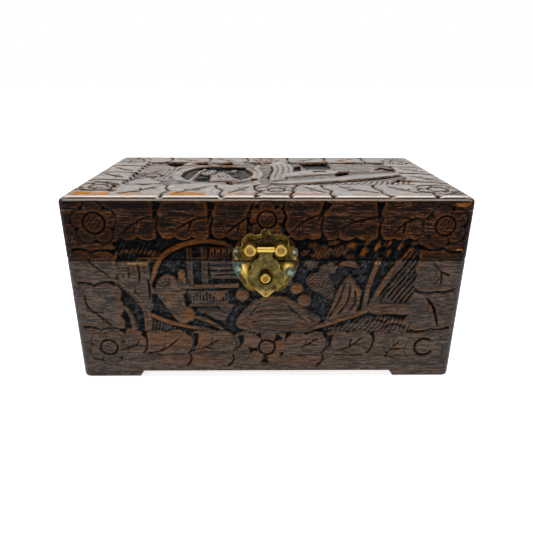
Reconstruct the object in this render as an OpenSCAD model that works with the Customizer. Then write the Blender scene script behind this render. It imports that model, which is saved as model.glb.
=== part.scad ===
// Carved camphorwood jewelry box: finger-jointed body on cut-out feet, lid on two
// brass butt hinges, brass hasp latch, and a lift-out tray inside.
// Millimetres. +Z is up, -Y is the front. The origin is on the table, at the middle
// of the whole footprint, latch and hinge barrels included.

/* [Box] */
// Width across the front
box_w = 300; // [260:5:340]
// Depth from the front face to the back face
box_d = 180; // [150:5:210]
// Height from the table to the top of the lid
box_h = 150; // [140:2:170]
// Thickness of the body and lid boards
wall = 10; // [9:0.5:12]
// Rounding of the four upright corners
corner_r = 4; // [2:0.5:6]
// Nominal height of one finger of the corner joints
finger_h = 13; // [10:1:16]

/* [Lid] */
// Height of the lid, from the seam to the top
lid_h = 48; // [44:1:56]
// Open line between lid and body
seam_gap = 0.3; // [0.2:0.1:0.5]
// Thickness of the board that covers the lid
top_t = 10; // [8:0.5:12]
// Rounding of the top board's upper edges
top_r = 5; // [3:0.5:7]
// Angle at which the bevels along the back edges stop the lid
open_angle = 100; // [92:1:110]

/* [Feet and floor] */
// Height of the cut-out between the feet
foot_h = 6; // [5:0.5:10]
// Length of a foot along the front and back
foot_w = 46; // [35:1:60]
// Length of a foot along the sides
side_foot_w = 40; // [30:1:50]
// Run of the sloped end of each cut-out
foot_slope = 4; // [2:0.5:8]
// Height of the floor panel's underside above the cut-outs
floor_lift = 5; // [3:0.5:8]
// Thickness of the floor panel
floor_t = 6; // [4:0.5:8]
// Depth of the groove that holds the floor panel
groove_d = 5; // [3:0.5:6]
// Play of the floor panel in its groove
floor_play = 0.2; // [0.1:0.1:0.4]

/* [Carving] */
// Width of the leaf border around each sunk field
border_w = 31; // [28:1:36]
// Height of the border below the lower edge of the front, back and side fields
lower_border = 42; // [38:1:46]
// Depth of the sunk fields of the front, back and sides
field_depth = 2; // [1:0.25:3]
// Depth of the sunk field of the lid's top
top_field_depth = 1; // [0.5:0.25:2]
// Depth of the pockets cut between the forms of the lid's scene
pocket_depth = 3.4; // [2:0.2:4]
// Middle radius of the rim of the front's moon gate
gate_r = 34; // [30:1:36]
// Middle radius of the rim of the round window on the lid
medallion_r = 34; // [30:1:38]
// Width of both rims
rim_w = 3.4; // [2:0.2:5]
// Length of one scallop along a leaf border
scallop_pitch = 13; // [10:1:18]
// Rise of a scallop into the field
scallop_rise = 2; // [1:0.25:3]
// Straight stretch between two scallops
scallop_flat = 1; // [0.5:0.25:2]
// Flat wood left around the latch's plates
latch_land = 6; // [3:0.5:8]

/* [Hinges] */
// Length of each butt hinge
hinge_l = 32; // [24:1:44]
// Distance of a hinge's middle from the end of the box
hinge_inset = 62; // [45:1:80]
// Outer radius of the barrel
barrel_r = 2.2; // [2:0.1:2.6]
// Radius of the hinge pin
pin_r = 1; // [0.8:0.1:1.2]
// Running clearance between pin and barrel
pin_play = 0.05; // [0.02:0.01:0.1]
// Thickness of a leaf
leaf_t = 1.2; // [0.8:0.1:1.5]
// Reach of a leaf from the pin
leaf_reach = 7.3; // [6.5:0.1:8]
// Distance of the pin inside the back face
axis_inset = 1.5; // [1.2:0.1:1.8]
// Radius of a hinge screw's shank
screw_r = 0.9; // [0.7:0.1:1]
// Radius of a hinge screw's head
screw_head_r = 1.7; // [1.5:0.1:1.9]
// Length of a hinge screw
screw_l = 10; // [8:1:14]

/* [Latch] */
// Sideways place of the latch
latch_x = -1.5; // [-3:0.1:3]
// Width of the two back plates
plate_w = 48; // [46:0.5:48.5]
// Thickness of the two back plates
plate_t = 1; // [0.8:0.1:1.4]
// Distance of each back plate's straight edge from the middle of the seam
plate_edge = 0.7; // [0.4:0.1:1.5]
// Height of the hasp's pivot above the seam
pivot_rise = 11; // [10.6:0.1:11.6]
// Distance of each post from the middle of the latch
post_reach = 11.1; // [11:0.1:12]
// Radius of a post
post_r = 4.5; // [4:0.1:4.6]
// Height of a post above the plate
post_l = 8.4; // [8:0.1:9.4]
// Radius of the rod that carries the hasp
rod_r = 1.1; // [0.9:0.05:1.2]
// Outer radius of the hasp's rolled eye
eye_r = 2; // [1.8:0.05:2.2]
// Length of the hasp's rolled eye
eye_l = 12.2; // [10:0.1:12.4]
// Running clearance between rod and eye
rod_play = 0.06; // [0.03:0.01:0.1]
// Thickness of the hasp
hasp_t = 1.2; // [1:0.1:1.4]
// Air between the hasp and the lower plate
hasp_gap = 3.2; // [2.8:0.1:3.6]
// Sideways place of the hasp between its posts
hasp_shift = 0.3; // [-0.3:0.1:0.3]
// Radius of the catch peg
peg_r = 3.8; // [3.4:0.1:4]
// Length of the catch peg above the plate
peg_l = 8.2; // [7.6:0.1:9]
// Distance of the catch peg below the seam
peg_drop = 10.9; // [10.6:0.1:11.2]
// Width of the oval hole in the hasp
hasp_hole_w = 10.4; // [10:0.1:11]
// Height of the oval hole in the hasp
hasp_hole_h = 13; // [12.6:0.1:13.6]
// Radius of the rivet tails of posts and peg
tail_r = 1.6; // [1.2:0.1:2]
// Radius of the peened end of a rivet tail
peen_r = 2.6; // [2.2:0.1:3]
// Thickness of the peened end
peen_t = 0.8; // [0.5:0.1:1]
// Radius of the plate nails
nail_r = 0.8; // [0.6:0.1:1]
// Length of the plate nails in the wood
nail_l = 7; // [5:0.5:8]
// Radius of the nail heads on the upper plate
upper_head_r = 1.6; // [1.3:0.1:1.9]
// Radius of the nail heads on the lower plate
lower_head_r = 2.8; // [2.2:0.1:3]

/* [Tray] */
// Height of the tray
tray_h = 26; // [22:1:30]
// Distance of the tray's rim below the body's rim
tray_drop = 3; // [2:0.5:5]
// Thickness of the tray's walls
tray_wall = 5; // [4:0.5:6]
// Thickness of the tray's floor
tray_floor_t = 3; // [2:0.5:4]
// Play all round the tray
tray_play = 1; // [0.5:0.25:2]
// Thickness of the dividers
divider_t = 3; // [2:0.5:4]
// Distance of the dividers' upper edge below the tray's rim
divider_drop = 4; // [2:0.5:8]
// Depth of the compartments behind the long divider
rear_row = 46; // [35:1:52]
// Width of the middle compartments
middle_w = 90; // [60:5:110]
// Play of the dividers where they cross
lap_play = 0.1; // [0.05:0.05:0.2]
// Radius of the finger notches in the tray's ends
notch_r = 10; // [8:0.5:12]
// Height of the cleats that carry the tray
cleat_h = 8; // [6:0.5:12]
// Width of the cleats
cleat_w = 6; // [5:0.5:8]
// Distance of the cleats' ends from the front and back boards
cleat_inset = 6; // [4:1:20]

/* [Hidden] */

$fn = 48;
eps = 0.01;              // overrun of a cut past the face it starts from

// Heights
seam_z = box_h - lid_h;              // rim of the body
lid_z = seam_z + seam_gap;           // lower edge of the lid
rail_top = box_h - top_t;            // underside of the top board
floor_z = foot_h + floor_lift;       // underside of the floor panel

// Depths: the latch stands out in front and the barrels behind
hasp_y = plate_t + hasp_gap;         // back of the hasp in front of the face
pivot_y = hasp_y + eye_r;            // middle of the rod in front of the face
peg_reach = plate_t + peg_l;
post_reach_y = plate_t + post_l;
latch_out = max(peg_reach, post_reach_y);
barrel_out = barrel_r - axis_inset;
front_y = (latch_out - barrel_out - box_d) / 2;
back_y = front_y + box_d;
axis_y = back_y - axis_inset;
axis_z = seam_z + seam_gap / 2;
mid_y = (front_y + back_y) / 2;

// Inside of the box
in_w = box_w - 2 * wall;
in_d = box_d - 2 * wall;

// Carved scenes. Forms are drawn in mm around the middle of their field: x, and z or y
front_scene_size = [228, 77];
gate_at = [-52, 2.5];
gate_span = [47, 195];               // the gate's rim, in degrees
front_shapes = [
    [[-24, -36], [-21, -24], [-13, -14.5], [-2, -8], [10, -7.5], [22, -12.5], [32, -20.5],
     [43, -27.5], [38, -36], [24, -42], [-12, -42]],                                // rocks
    [[-79, 3], [-70, 3], [-66.5, -8], [-67.5, -20], [-64, -29], [-75, -29.5], [-78, -19],
     [-81, -10], [-86, -7]],                                                        // figure at the gate
    [[58, 18], [64, 16], [70, 3.5], [73, -2.5], [70, -18.5], [60, -23.5], [50, -28],
     [47.5, -23.5], [54, -6.5], [56, 5.5]],                                         // figure in a cloak
    [[-118, 31.5], [-80, 23.5], [-88, 5.5], [-88, -16], [-94, -10.5], [-118, 7.5]], // hanging leaves
    [[76, -18.5], [86, -13], [100, -14], [118, -14.5], [118, -22.5], [96, -23], [84, -23.5]], // boat
    [[46, -42], [45, -37.5], [58, -31.5], [72, -28], [88, -25.5], [104, -28], [118, -27], [118, -42]],
    [[-66, 0.5], [-21, 1.5], [-21, 5.5], [-66, 4.5]],                               // beams
    [[-66, -4], [-22, -3], [-22, 0], [-66, -1]]
];
front_discs = [[-73.5, 6.5, 5.4], [61.5, 21.5, 5], [-19, -7, 5.4], [22.5, -1.5, 5.2], [28.5, -12, 5.6],
               [40, 26.5, 7], [46, 13.5, 6]];
// Each strip is [width, points]
front_strips = [
    [5, [[-118, 8], [-106, -2.5], [-97, -12.5], [-93, -23], [-92.5, -42]]],         // leaning trunk
    [3.2, [[-93, -22], [-80, -29], [-66, -33.5], [-48, -37], [-30, -43]]],          // bank
    [4, [[20, -43], [38, -35.5], [53, -30], [68, -24.5], [80, -18.5]]],             // gunwale
    [3.3, [[76, -21], [77.5, -1], [84, 23]]],                                       // masts
    [3.3, [[80, -19], [90, 5.5], [104, 28]]],
    [3.2, [[-58, 3], [-58, 29.5]]],                                                 // pavilion posts
    [3.2, [[-47, 3], [-47, 29.5]]]
];
top_scene_size = [238, 118];
medallion_at = [-43.5, -1];
top_shapes = [
    [[2, -37], [20, -43], [44, -36], [70, -28], [96, -16], [116, -5], [116, 4], [96, 1], [74, -6],
     [50, -17], [24, -27]],                                                         // hull
    [[66, 10], [112, 11], [104, 30], [88, 48], [66, 49], [62, 22]],                 // sail
    [[4, 52], [22, 52], [25, 28], [20, 2], [16, -20], [4, -28], [1, -6], [5, 22]],  // standing figure
    [[-47, -2], [-33, -1], [-28, -16], [-22, -27], [-44, -31], [-48, -18]]          // seated figure
];
top_strips = [[7, [[-6, -46], [-9, -24], [-5, 2], [-9, 30], [-4, 56]]]];            // trunk
top_pockets = [
    [[-96, 52], [-86, 33], [-82, 44], [-78, 54]],
    [[-50, 24], [-38, 30], [-22, 29], [-20, 18], [-34, 20], [-46, 17]],
    [[-58, -17], [-55, -32], [-50, -23], [-49, -11]],
    [[27, 17], [32, 17], [34, 31], [29, 30]],
    [[36, 52], [38, 33], [42, 22], [52, 21], [60, 31], [57, 52]],
    [[61, 0], [65, -7], [73, 3], [71, 8]],
    [[99, 17], [107, 21], [117, 15], [115, 23], [108, 32]],
    [[100, -38], [112, -32], [116, -33], [110, -23]]
];

// Hinges
barrel_clear = 0.4;                  // room around the barrel and the leaf
leaf_space = 0.25;                   // half the gap between two closed leaves
knuckles = 5;
knuckle_gap = 0.15;
bevel_angle = open_angle / 2 + 2;
screw_step = hinge_l / 3;

// Latch. Outlines are circles of [x, z, radius] in mm from the latch's middle, mirrored in X
plate_r = 24.6;                      // the round that both plates are cut from
upper_rounds = [[0, 0, 21.4], [0, 21.4, 3.6], [19.4, 6.8, 4.8], [10.4, 14, 7.1]];
upper_foot = [46, 6];                // straight strip along the upper plate's edge
lower_rounds = [[0, 0, plate_r], [9, 16.6, 8.2], [0, 24.8, 4.2]];
hasp_rounds = [[0, -4.6, 10.6], [5, -12, 9.5], [0, -24.6, 3]];
hasp_notch = [12.2, -3, 1.8];        // hollow between the hasp's shoulder and its belly
hasp_tip = [[-9, -12], [-9, -20], [-2.6, -26], [2.6, -26], [9, -20], [9, -12]];
hasp_neck_w = 9.6;
hasp_neck_low = 6;                   // reach of the neck below the latch's middle
upper_nails_at = [[-21.6, 8.4], [21.4, 7.4]];
lower_nails_at = [[-20.4, -5.6], [18.4, -8.8]];
pocket_play = 0.2;                   // room around a peened end in the wood
post_dome = 1;                       // rounding of a post's end
peg_dome = 1.4;                      // rounding of the peg's end
dish_rim = 1.5;                      // width of the rim around a stud's dished end
dish_depth = 0.8;

// Tray
tray_w = in_w - 2 * tray_play;
tray_d = in_d - 2 * tray_play;
tray_z = seam_z - tray_drop - tray_h;
tray_x0 = -tray_w / 2;
tray_y0 = mid_y - tray_d / 2;
divider_z = tray_z + tray_floor_t;
divider_h = tray_h - tray_floor_t - divider_drop;
divider_y = tray_y0 + tray_d - tray_wall - rear_row - divider_t;

// Colours
stained = [0.26, 0.14, 0.09];
bare = [0.72, 0.48, 0.28];
brass = [0.66, 0.52, 0.22];
steel = [0.55, 0.55, 0.55];
verdigris = [0.36, 0.47, 0.42];

// ---------------------------------------------------------------- shared shapes

// A board between two opposite corners
module board(low, high) {
    translate(low) cube(high - low);
}

module rounded_rectangle(w, d, r) {
    square([w - 2 * r, d], center = true);
    square([w, d - 2 * r], center = true);
    for (x = [-1, 1], y = [-1, 1])
        translate([x * (w / 2 - r), y * (d / 2 - r)]) circle(r);
}

// The box's outside, with its upright corners rounded
module outside() {
    translate([0, mid_y, 0]) linear_extrude(box_h) rounded_rectangle(box_w, box_d, corner_r);
}

// Lays a profile drawn in Y and Z along X
module along_x(x0, x1) {
    translate([x0, 0, 0]) rotate([90, 0, 90]) linear_extrude(x1 - x0) children();
}

// Lays a drawing made in X and Z on a face, cut or raised by depth along +Y
module on_front(y, depth) {
    translate([0, y + depth, 0]) rotate([90, 0, 0]) linear_extrude(depth) children();
}

// Every second finger of the corner joints between two heights, at all four corners
module fingers(z0, z1, first) {
    count = 2 * floor((z1 - z0) / finger_h / 2) + 1;
    step = (z1 - z0) / count;
    for (i = [first:2:count - 1], sx = [-1, 1], sy = [-1, 1]) {
        x = sx < 0 ? -box_w / 2 - eps : box_w / 2 - wall;
        y = sy < 0 ? front_y - eps : back_y - wall;
        low = i == 0 ? z0 - eps : z0 + i * step;
        high = i == count - 1 ? z1 + eps : z0 + (i + 1) * step;
        board([x, y, low], [x + wall + eps, y + wall + eps, high]);
    }
}

// ---------------------------------------------------------------- carving

// A sunk field with scalloped edges, w by h, its lower left corner at the origin
module field(w, h) {
    across = round(w / scallop_pitch);
    up = round(h / scallop_pitch);
    dx = w / across;
    dy = h / up;
    difference() {
        square([w, h]);
        for (i = [0:across - 1], y = [0, h])
            translate([(i + 0.5) * dx, y]) scallop(dx, y > 0 ? -1 : 1);
        for (i = [0:up - 1], x = [0, w])
            translate([x, (i + 0.5) * dy]) rotate(x > 0 ? 90 : -90) scallop(dy, 1);
    }
}

// One scallop: a circle that rises into the field by scallop_rise, with a short flat to the next
module scallop(length, side) {
    chord = length - scallop_flat;
    arc_r = (chord * chord / 4 + scallop_rise * scallop_rise) / (2 * scallop_rise);
    translate([0, side * (scallop_rise - arc_r)]) circle(arc_r);
}

// Size of a face's field, for a face of width w
function field_size(w) = [w - 2 * border_w - wall, box_h - border_w - lower_border];

module face_field(w) {
    size = field_size(w);
    translate([-size[0] / 2, lower_border]) field(size[0], size[1]);
}

// Square to the path at its point i
function across(path, i) =
    let (step = path[min(i + 1, len(path) - 1)] - path[max(i - 1, 0)]) [-step[1], step[0]] / norm(step);

// A band of width w along a path
module strip(path, w) {
    last = len(path) - 1;
    polygon(concat([for (i = [0:last]) path[i] + across(path, i) * w / 2],
                   [for (i = [last:-1:0]) path[i] - across(path, i) * w / 2]));
}

// A round rim around a point, of middle radius r, between two angles of up to 180 degrees apart
module rim(at, r, span) {
    reach = 2 * r;
    middle = (span[0] + span[1]) / 2;
    translate(at) intersection() {
        difference() {
            circle(r + rim_w / 2);
            circle(r - rim_w / 2);
        }
        polygon([[0, 0], for (a = [span[0], middle, span[1]]) reach * [cos(a), sin(a)]]);
    }
}

// Moves and scales a drawn scene of a given size to a field
module fit_scene(middle, drawn, size) {
    translate(middle) scale(min(size[0] / drawn[0], size[1] / drawn[1])) children();
}

module front_scene() {
    size = field_size(box_w);
    fit_scene([0, lower_border + size[1] / 2], front_scene_size, size) {
        for (shape = front_shapes) polygon(shape);
        for (band = front_strips) strip(band[1], band[0]);
        rounds_at(front_discs);
        rim(gate_at, gate_r, gate_span);
    }
}

module top_scene() {
    for (shape = top_shapes) polygon(shape);
    for (band = top_strips) strip(band[1], band[0]);
    for (turn = [0, 180]) rim(medallion_at, medallion_r, [turn, turn + 180]);
}

// Circles of [x, y, radius]
module rounds_at(list) {
    for (c = list) translate([c[0], c[1]]) circle(c[2]);
}

// The front's field, leaving flat wood under the latch
module front_carving() {
    on_front(front_y - eps, field_depth + eps) difference() {
        face_field(box_w);
        translate([latch_x, seam_z]) circle(plate_r + latch_land);
        front_scene();
    }
}

module back_carving() {
    on_front(back_y - field_depth, field_depth + eps) difference() {
        face_field(box_w);
        for (s = [-1, 1])
            translate([s * (box_w / 2 - hinge_inset) - hinge_l, seam_z - wall])
                square([2 * hinge_l, 2 * wall]);
    }
}

// Carving of both end faces
module end_carving() {
    for (s = [-1, 1])
        translate([0, mid_y, 0]) rotate(s * 90)
            on_front(-box_w / 2 - eps, field_depth + eps) face_field(box_d);
}

module top_carving() {
    size = [box_w - 2 * border_w, box_d - 2 * border_w];
    translate([0, mid_y, box_h - top_field_depth]) linear_extrude(top_field_depth + eps)
        difference() {
            translate(-size / 2) field(size[0], size[1]);
            fit_scene([0, 0], top_scene_size, size) top_scene();
        }
    translate([0, mid_y, box_h - pocket_depth]) linear_extrude(pocket_depth + eps)
        fit_scene([0, 0], top_scene_size, size) for (pocket = top_pockets) polygon(pocket);
}

// ---------------------------------------------------------------- body

// Cut-outs under one pair of boards, drawn across a length
module foot_gap(length, foot) {
    polygon([
        [-length / 2 + foot, -eps], [-length / 2 + foot + foot_slope, foot_h],
        [length / 2 - foot - foot_slope, foot_h], [length / 2 - foot, -eps]
    ]);
}

module floor_groove() {
    board([-in_w / 2 - groove_d, front_y + wall - groove_d, floor_z],
          [in_w / 2 + groove_d, back_y - wall + groove_d, floor_z + floor_t + floor_play]);
}

module front_board() {
    color(stained) difference() {
        intersection() {
            board([-box_w / 2, front_y, 0], [box_w / 2, front_y + wall, seam_z]);
            outside();
        }
        fingers(0, seam_z, 1);
        on_front(front_y - eps, wall + 2 * eps) foot_gap(box_w, foot_w);
        floor_groove();
        front_carving();
        rivet_pockets([[0, -peg_drop]]);
        sunk_holes(lower_nails_at, nail_r, nail_l);
    }
}

module back_board() {
    color(stained) difference() {
        intersection() {
            board([-box_w / 2, back_y - wall, 0], [box_w / 2, back_y, seam_z]);
            outside();
        }
        fingers(0, seam_z, 1);
        on_front(back_y - wall - eps, wall + 2 * eps) foot_gap(box_w, foot_w);
        floor_groove();
        back_carving();
        back_bevel();
        hinge_pockets(-1);
    }
}

// Left board for side -1, right board for side 1
module side_board(side) {
    x = side * box_w / 2;
    color(stained) difference() {
        intersection() {
            board([min(x, x - side * wall), front_y, 0], [max(x, x - side * wall), back_y, seam_z]);
            outside();
        }
        fingers(0, seam_z, 0);
        translate([0, mid_y, 0]) along_x(-box_w, box_w) foot_gap(box_d, side_foot_w);
        floor_groove();
        end_carving();
        back_bevel();
    }
}

module floor_panel() {
    reach = groove_d - floor_play;
    color(bare) board([-in_w / 2 - reach, front_y + wall - reach, floor_z],
                      [in_w / 2 + reach, back_y - wall + reach, floor_z + floor_t]);
}

module tray_cleat(side) {
    x = side * in_w / 2;
    color(bare) board([min(x, x - side * cleat_w), front_y + wall + cleat_inset, tray_z - cleat_h],
                      [max(x, x - side * cleat_w), back_y - wall - cleat_inset, tray_z]);
}

// ---------------------------------------------------------------- lid

// Section across the lid, drawn around its middle: square below, rounded above
module lid_section(w) {
    rounded_rectangle(w, 2 * box_h, top_r);
}

module lid_top() {
    color(stained) difference() {
        intersection() {
            board([-box_w / 2, front_y, rail_top], [box_w / 2, back_y, box_h]);
            outside();
            translate([0, mid_y, 0]) along_x(-box_w / 2, box_w / 2) lid_section(box_d);
            on_front(front_y, box_d) lid_section(box_w);
        }
        top_carving();
    }
}

module lid_front_rail() {
    color(stained) difference() {
        intersection() {
            board([-box_w / 2, front_y, lid_z], [box_w / 2, front_y + wall, rail_top]);
            outside();
        }
        fingers(lid_z, rail_top, 1);
        front_carving();
        rivet_pockets([[-post_reach, pivot_rise], [post_reach, pivot_rise]]);
        sunk_holes(upper_nails_at, nail_r, nail_l);
    }
}

module lid_back_rail() {
    color(stained) difference() {
        intersection() {
            board([-box_w / 2, back_y - wall, lid_z], [box_w / 2, back_y, rail_top]);
            outside();
        }
        fingers(lid_z, rail_top, 1);
        back_carving();
        back_bevel();
        hinge_pockets(1);
    }
}

module lid_side_rail(side) {
    x = side * box_w / 2;
    color(stained) difference() {
        intersection() {
            board([min(x, x - side * wall), front_y, lid_z],
                  [max(x, x - side * wall), back_y, rail_top]);
            outside();
        }
        fingers(lid_z, rail_top, 0);
        end_carving();
        back_bevel();
    }
}

// ---------------------------------------------------------------- hinges

// The V along the back of the seam, where the lid's and the body's bevels meet when open
module back_bevel() {
    run = axis_inset + eps;
    rise = run * tan(bevel_angle);
    along_x(-box_w, box_w) polygon([
        [axis_y, lid_z], [axis_y + run, lid_z + rise],
        [axis_y + run, seam_z - rise], [axis_y, seam_z]
    ]);
}

// Moves its children to the left hinge for side -1, or to the right one for side 1
module place_hinge(side) {
    translate([side * (box_w / 2 - hinge_inset), axis_y, axis_z]) children();
}

module barrel_piece(r, x0, x1) {
    translate([x0, 0, 0]) rotate([0, 90, 0]) cylinder(h = x1 - x0, r = r);
}

// Pockets cut in the back boards for both hinges: half is -1 in the body, 1 in the lid
module hinge_pockets(half) {
    for (side = [-1, 1]) place_hinge(side) {
        barrel_piece(barrel_r + barrel_clear, -hinge_l / 2 - barrel_clear, hinge_l / 2 + barrel_clear);
        z = half * (leaf_space + leaf_t);
        board([-hinge_l / 2, -leaf_reach, min(z, 0)], [hinge_l / 2, 0, max(z, 0)]);
        screws(half);
    }
}

// One leaf around its own origin on the pin's axis: half is -1 for the body, 1 for the lid
module leaf(half) {
    knuckle = hinge_l / knuckles;
    z0 = half * leaf_space;
    z1 = half * (leaf_space + leaf_t);
    color(brass) difference() {
        union() {
            board([-hinge_l / 2, -leaf_reach, min(z0, z1)],
                  [hinge_l / 2, -barrel_r - barrel_clear, max(z0, z1)]);
            for (i = [half < 0 ? 0 : 1:2:knuckles - 1]) {
                x0 = -hinge_l / 2 + i * knuckle + (i > 0 ? knuckle_gap / 2 : 0);
                x1 = -hinge_l / 2 + (i + 1) * knuckle - (i < knuckles - 1 ? knuckle_gap / 2 : 0);
                barrel_piece(barrel_r, x0, x1);
                board([x0, -barrel_r - barrel_clear, min(z0, z1)], [x1, 0, max(z0, z1)]);
            }
        }
        barrel_piece(pin_r + pin_play, -hinge_l, hinge_l);
        screws(half);
    }
}

// Three countersunk screws through a leaf into the wood
module screws(half) {
    y = (-leaf_reach - barrel_r - barrel_clear) / 2;
    head_h = screw_head_r - screw_r;
    for (i = [-1, 0, 1]) translate([i * screw_step, y, half * leaf_space])
        rotate([half < 0 ? 180 : 0, 0, 0]) {
            cylinder(h = head_h, r1 = screw_head_r, r2 = screw_r);
            cylinder(h = screw_l, r = screw_r);
        }
}

module hinge_leaf(side, half) {
    place_hinge(side) leaf(half);
}

module hinge_pin(side) {
    color(brass) place_hinge(side) barrel_piece(pin_r, -hinge_l / 2, hinge_l / 2);
}

module hinge_screws(side, half) {
    color(brass) place_hinge(side) screws(half);
}

// ---------------------------------------------------------------- latch

// Moves its children to the latch's middle, on the seam and on the front face
module at_latch() {
    translate([latch_x, front_y, seam_z + seam_gap / 2]) children();
}

// A plate or hasp drawn in X and Z, from one distance in front of the face to another
module stamped(near, far) {
    translate([0, -near, 0]) rotate([90, 0, 0]) linear_extrude(far - near) children();
}

// Cuts a drawing to the plates' width, and off below the straight edge along the seam
module above_edge() {
    intersection() {
        children();
        translate([-plate_w / 2, plate_edge]) square([plate_w, plate_w]);
    }
}

// Circles of [x, z, radius], each on both sides of the middle
module rounds(list) {
    for (c = list, s = c[0] > 0 ? [-1, 1] : [1]) translate([s * c[0], c[1]]) circle(c[2]);
}

// The plate on the lid: ears, shoulders and a round lobe on top
module upper_outline() {
    above_edge() {
        rounds(upper_rounds);
        translate([-upper_foot[0] / 2, 0]) square(upper_foot);
    }
}

// The plate on the body, upside down: a rounded shield with a point
module lower_outline() {
    above_edge() rounds(lower_rounds);
}

module upper_plate() {
    color(brass) at_latch() difference() {
        stamped(0, plate_t) upper_outline();
        stamped(-eps, plate_t + eps) {
            for (s = [-1, 1]) translate([s * post_reach, pivot_rise]) circle(tail_r);
            for (place = upper_nails_at) translate(place) circle(nail_r);
        }
    }
}

module lower_plate() {
    color(brass) at_latch() difference() {
        stamped(0, plate_t) rotate(180) lower_outline();
        stamped(-eps, plate_t + eps) {
            translate([0, -peg_drop]) circle(tail_r);
            for (place = lower_nails_at) translate(place) circle(nail_r);
        }
    }
}

// A turned stud riveted through its plate: r and l are the visible part
module stud(r, l, dome) {
    dish_r = r - dish_rim;
    rotate([90, 0, 0]) rotate_extrude() polygon([
        [0, -peen_t], [peen_r, -peen_t], [peen_r, 0], [tail_r, 0], [tail_r, plate_t],
        [r, plate_t], [r, plate_t + l - dome], [r - dome * 0.3, plate_t + l - dome * 0.3],
        [r - dome, plate_t + l], [dish_r, plate_t + l],
        [dish_r - dish_depth, plate_t + l - dish_depth], [0, plate_t + l - dish_depth]
    ]);
}

module post(side) {
    color(brass) difference() {
        at_latch() translate([side * post_reach, 0, pivot_rise]) stud(post_r, post_l, post_dome);
        rod_body();
    }
}

module peg() {
    color(brass) at_latch() translate([0, 0, -peg_drop]) stud(peg_r, peg_l, peg_dome);
}

// The rod ends inside both posts
module rod_body() {
    reach = post_reach + post_r - dish_rim;
    at_latch() translate([-reach, -pivot_y, pivot_rise])
        rotate([0, 90, 0]) cylinder(h = 2 * reach, r = rod_r);
}

module rod() {
    color(brass) rod_body();
}

// Round holes sunk into the wood behind the plates
module sunk_holes(places, r, depth) {
    at_latch() for (place = places) translate([place[0], -eps, place[1]])
        rotate([-90, 0, 0]) cylinder(h = depth + eps, r = r);
}

// Recesses behind the plates for the rivets' peened ends
module rivet_pockets(places) {
    sunk_holes(places, peen_r + pocket_play, peen_t + pocket_play);
}

module hasp_outline() {
    hole_r = hasp_hole_w / 2;
    hole_step = (hasp_hole_h - hasp_hole_w) / 2;
    difference() {
        union() {
            translate([-hasp_neck_w / 2, -hasp_neck_low])
                square([hasp_neck_w, pivot_rise + hasp_neck_low]);
            rounds(hasp_rounds);
            polygon(hasp_tip);
        }
        rounds([hasp_notch]);
        translate([-hole_r, -peg_drop - hole_step]) square([2 * hole_r, 2 * hole_step]);
        for (s = [-1, 1]) translate([0, -peg_drop + s * hole_step]) circle(hole_r);
    }
}

module hasp() {
    color(brass) at_latch() translate([hasp_shift, 0, 0]) difference() {
        union() {
            stamped(hasp_y, hasp_y + hasp_t) hasp_outline();
            translate([-eye_l / 2, -pivot_y, pivot_rise]) rotate([0, 90, 0]) cylinder(h = eye_l, r = eye_r);
        }
        translate([-eye_l, -pivot_y, pivot_rise]) rotate([0, 90, 0])
            cylinder(h = 2 * eye_l, r = rod_r + rod_play);
    }
}

// One round-headed nail, its shank in the wood behind the plate
module nail(head_r) {
    head_h = head_r * 0.45;
    rotate([90, 0, 0]) rotate_extrude() polygon([
        [0, -nail_l], [nail_r, -nail_l + nail_r], [nail_r, plate_t], [head_r, plate_t],
        [head_r * 0.8, plate_t + head_h * 0.7], [head_r * 0.4, plate_t + head_h],
        [0, plate_t + head_h]
    ]);
}

module nails(places, head_r) {
    at_latch() for (place = places) translate([place[0], 0, place[1]]) nail(head_r);
}

module upper_nails() {
    color(steel) nails(upper_nails_at, upper_head_r);
}

module lower_nails() {
    color(verdigris) nails(lower_nails_at, lower_head_r);
}

// ---------------------------------------------------------------- tray

module tray_floor() {
    color(bare) board([tray_x0, tray_y0, tray_z],
                      [tray_x0 + tray_w, tray_y0 + tray_d, tray_z + tray_floor_t]);
}

module tray_wall_long(y) {
    color(bare) board([tray_x0, y, divider_z], [tray_x0 + tray_w, y + tray_wall, tray_z + tray_h]);
}

module tray_end(side) {
    x = side < 0 ? tray_x0 : tray_x0 + tray_w - tray_wall;
    color(bare) difference() {
        board([x, tray_y0 + tray_wall, divider_z],
              [x + tray_wall, tray_y0 + tray_d - tray_wall, tray_z + tray_h]);
        translate([x - eps, mid_y, tray_z + tray_h])
            rotate([0, 90, 0]) cylinder(h = tray_wall + 2 * eps, r = notch_r);
    }
}

// Slots where the dividers cross, in the upper or the lower half of their height
module laps(upper) {
    z = upper ? divider_z + divider_h / 2 : divider_z - eps;
    for (s = [-1, 1]) board(
        [s * middle_w / 2 - divider_t / 2 - lap_play, divider_y - lap_play, z],
        [s * middle_w / 2 + divider_t / 2 + lap_play, divider_y + divider_t + lap_play,
         z + divider_h / 2 + eps]);
}

module long_divider() {
    color(bare) difference() {
        board([tray_x0 + tray_wall, divider_y, divider_z],
              [tray_x0 + tray_w - tray_wall, divider_y + divider_t, divider_z + divider_h]);
        laps(true);
    }
}

module cross_divider(side) {
    x = side * middle_w / 2;
    color(bare) difference() {
        board([x - divider_t / 2, tray_y0 + tray_wall, divider_z],
              [x + divider_t / 2, tray_y0 + tray_d - tray_wall, divider_z + divider_h]);
        laps(false);
    }
}

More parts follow.
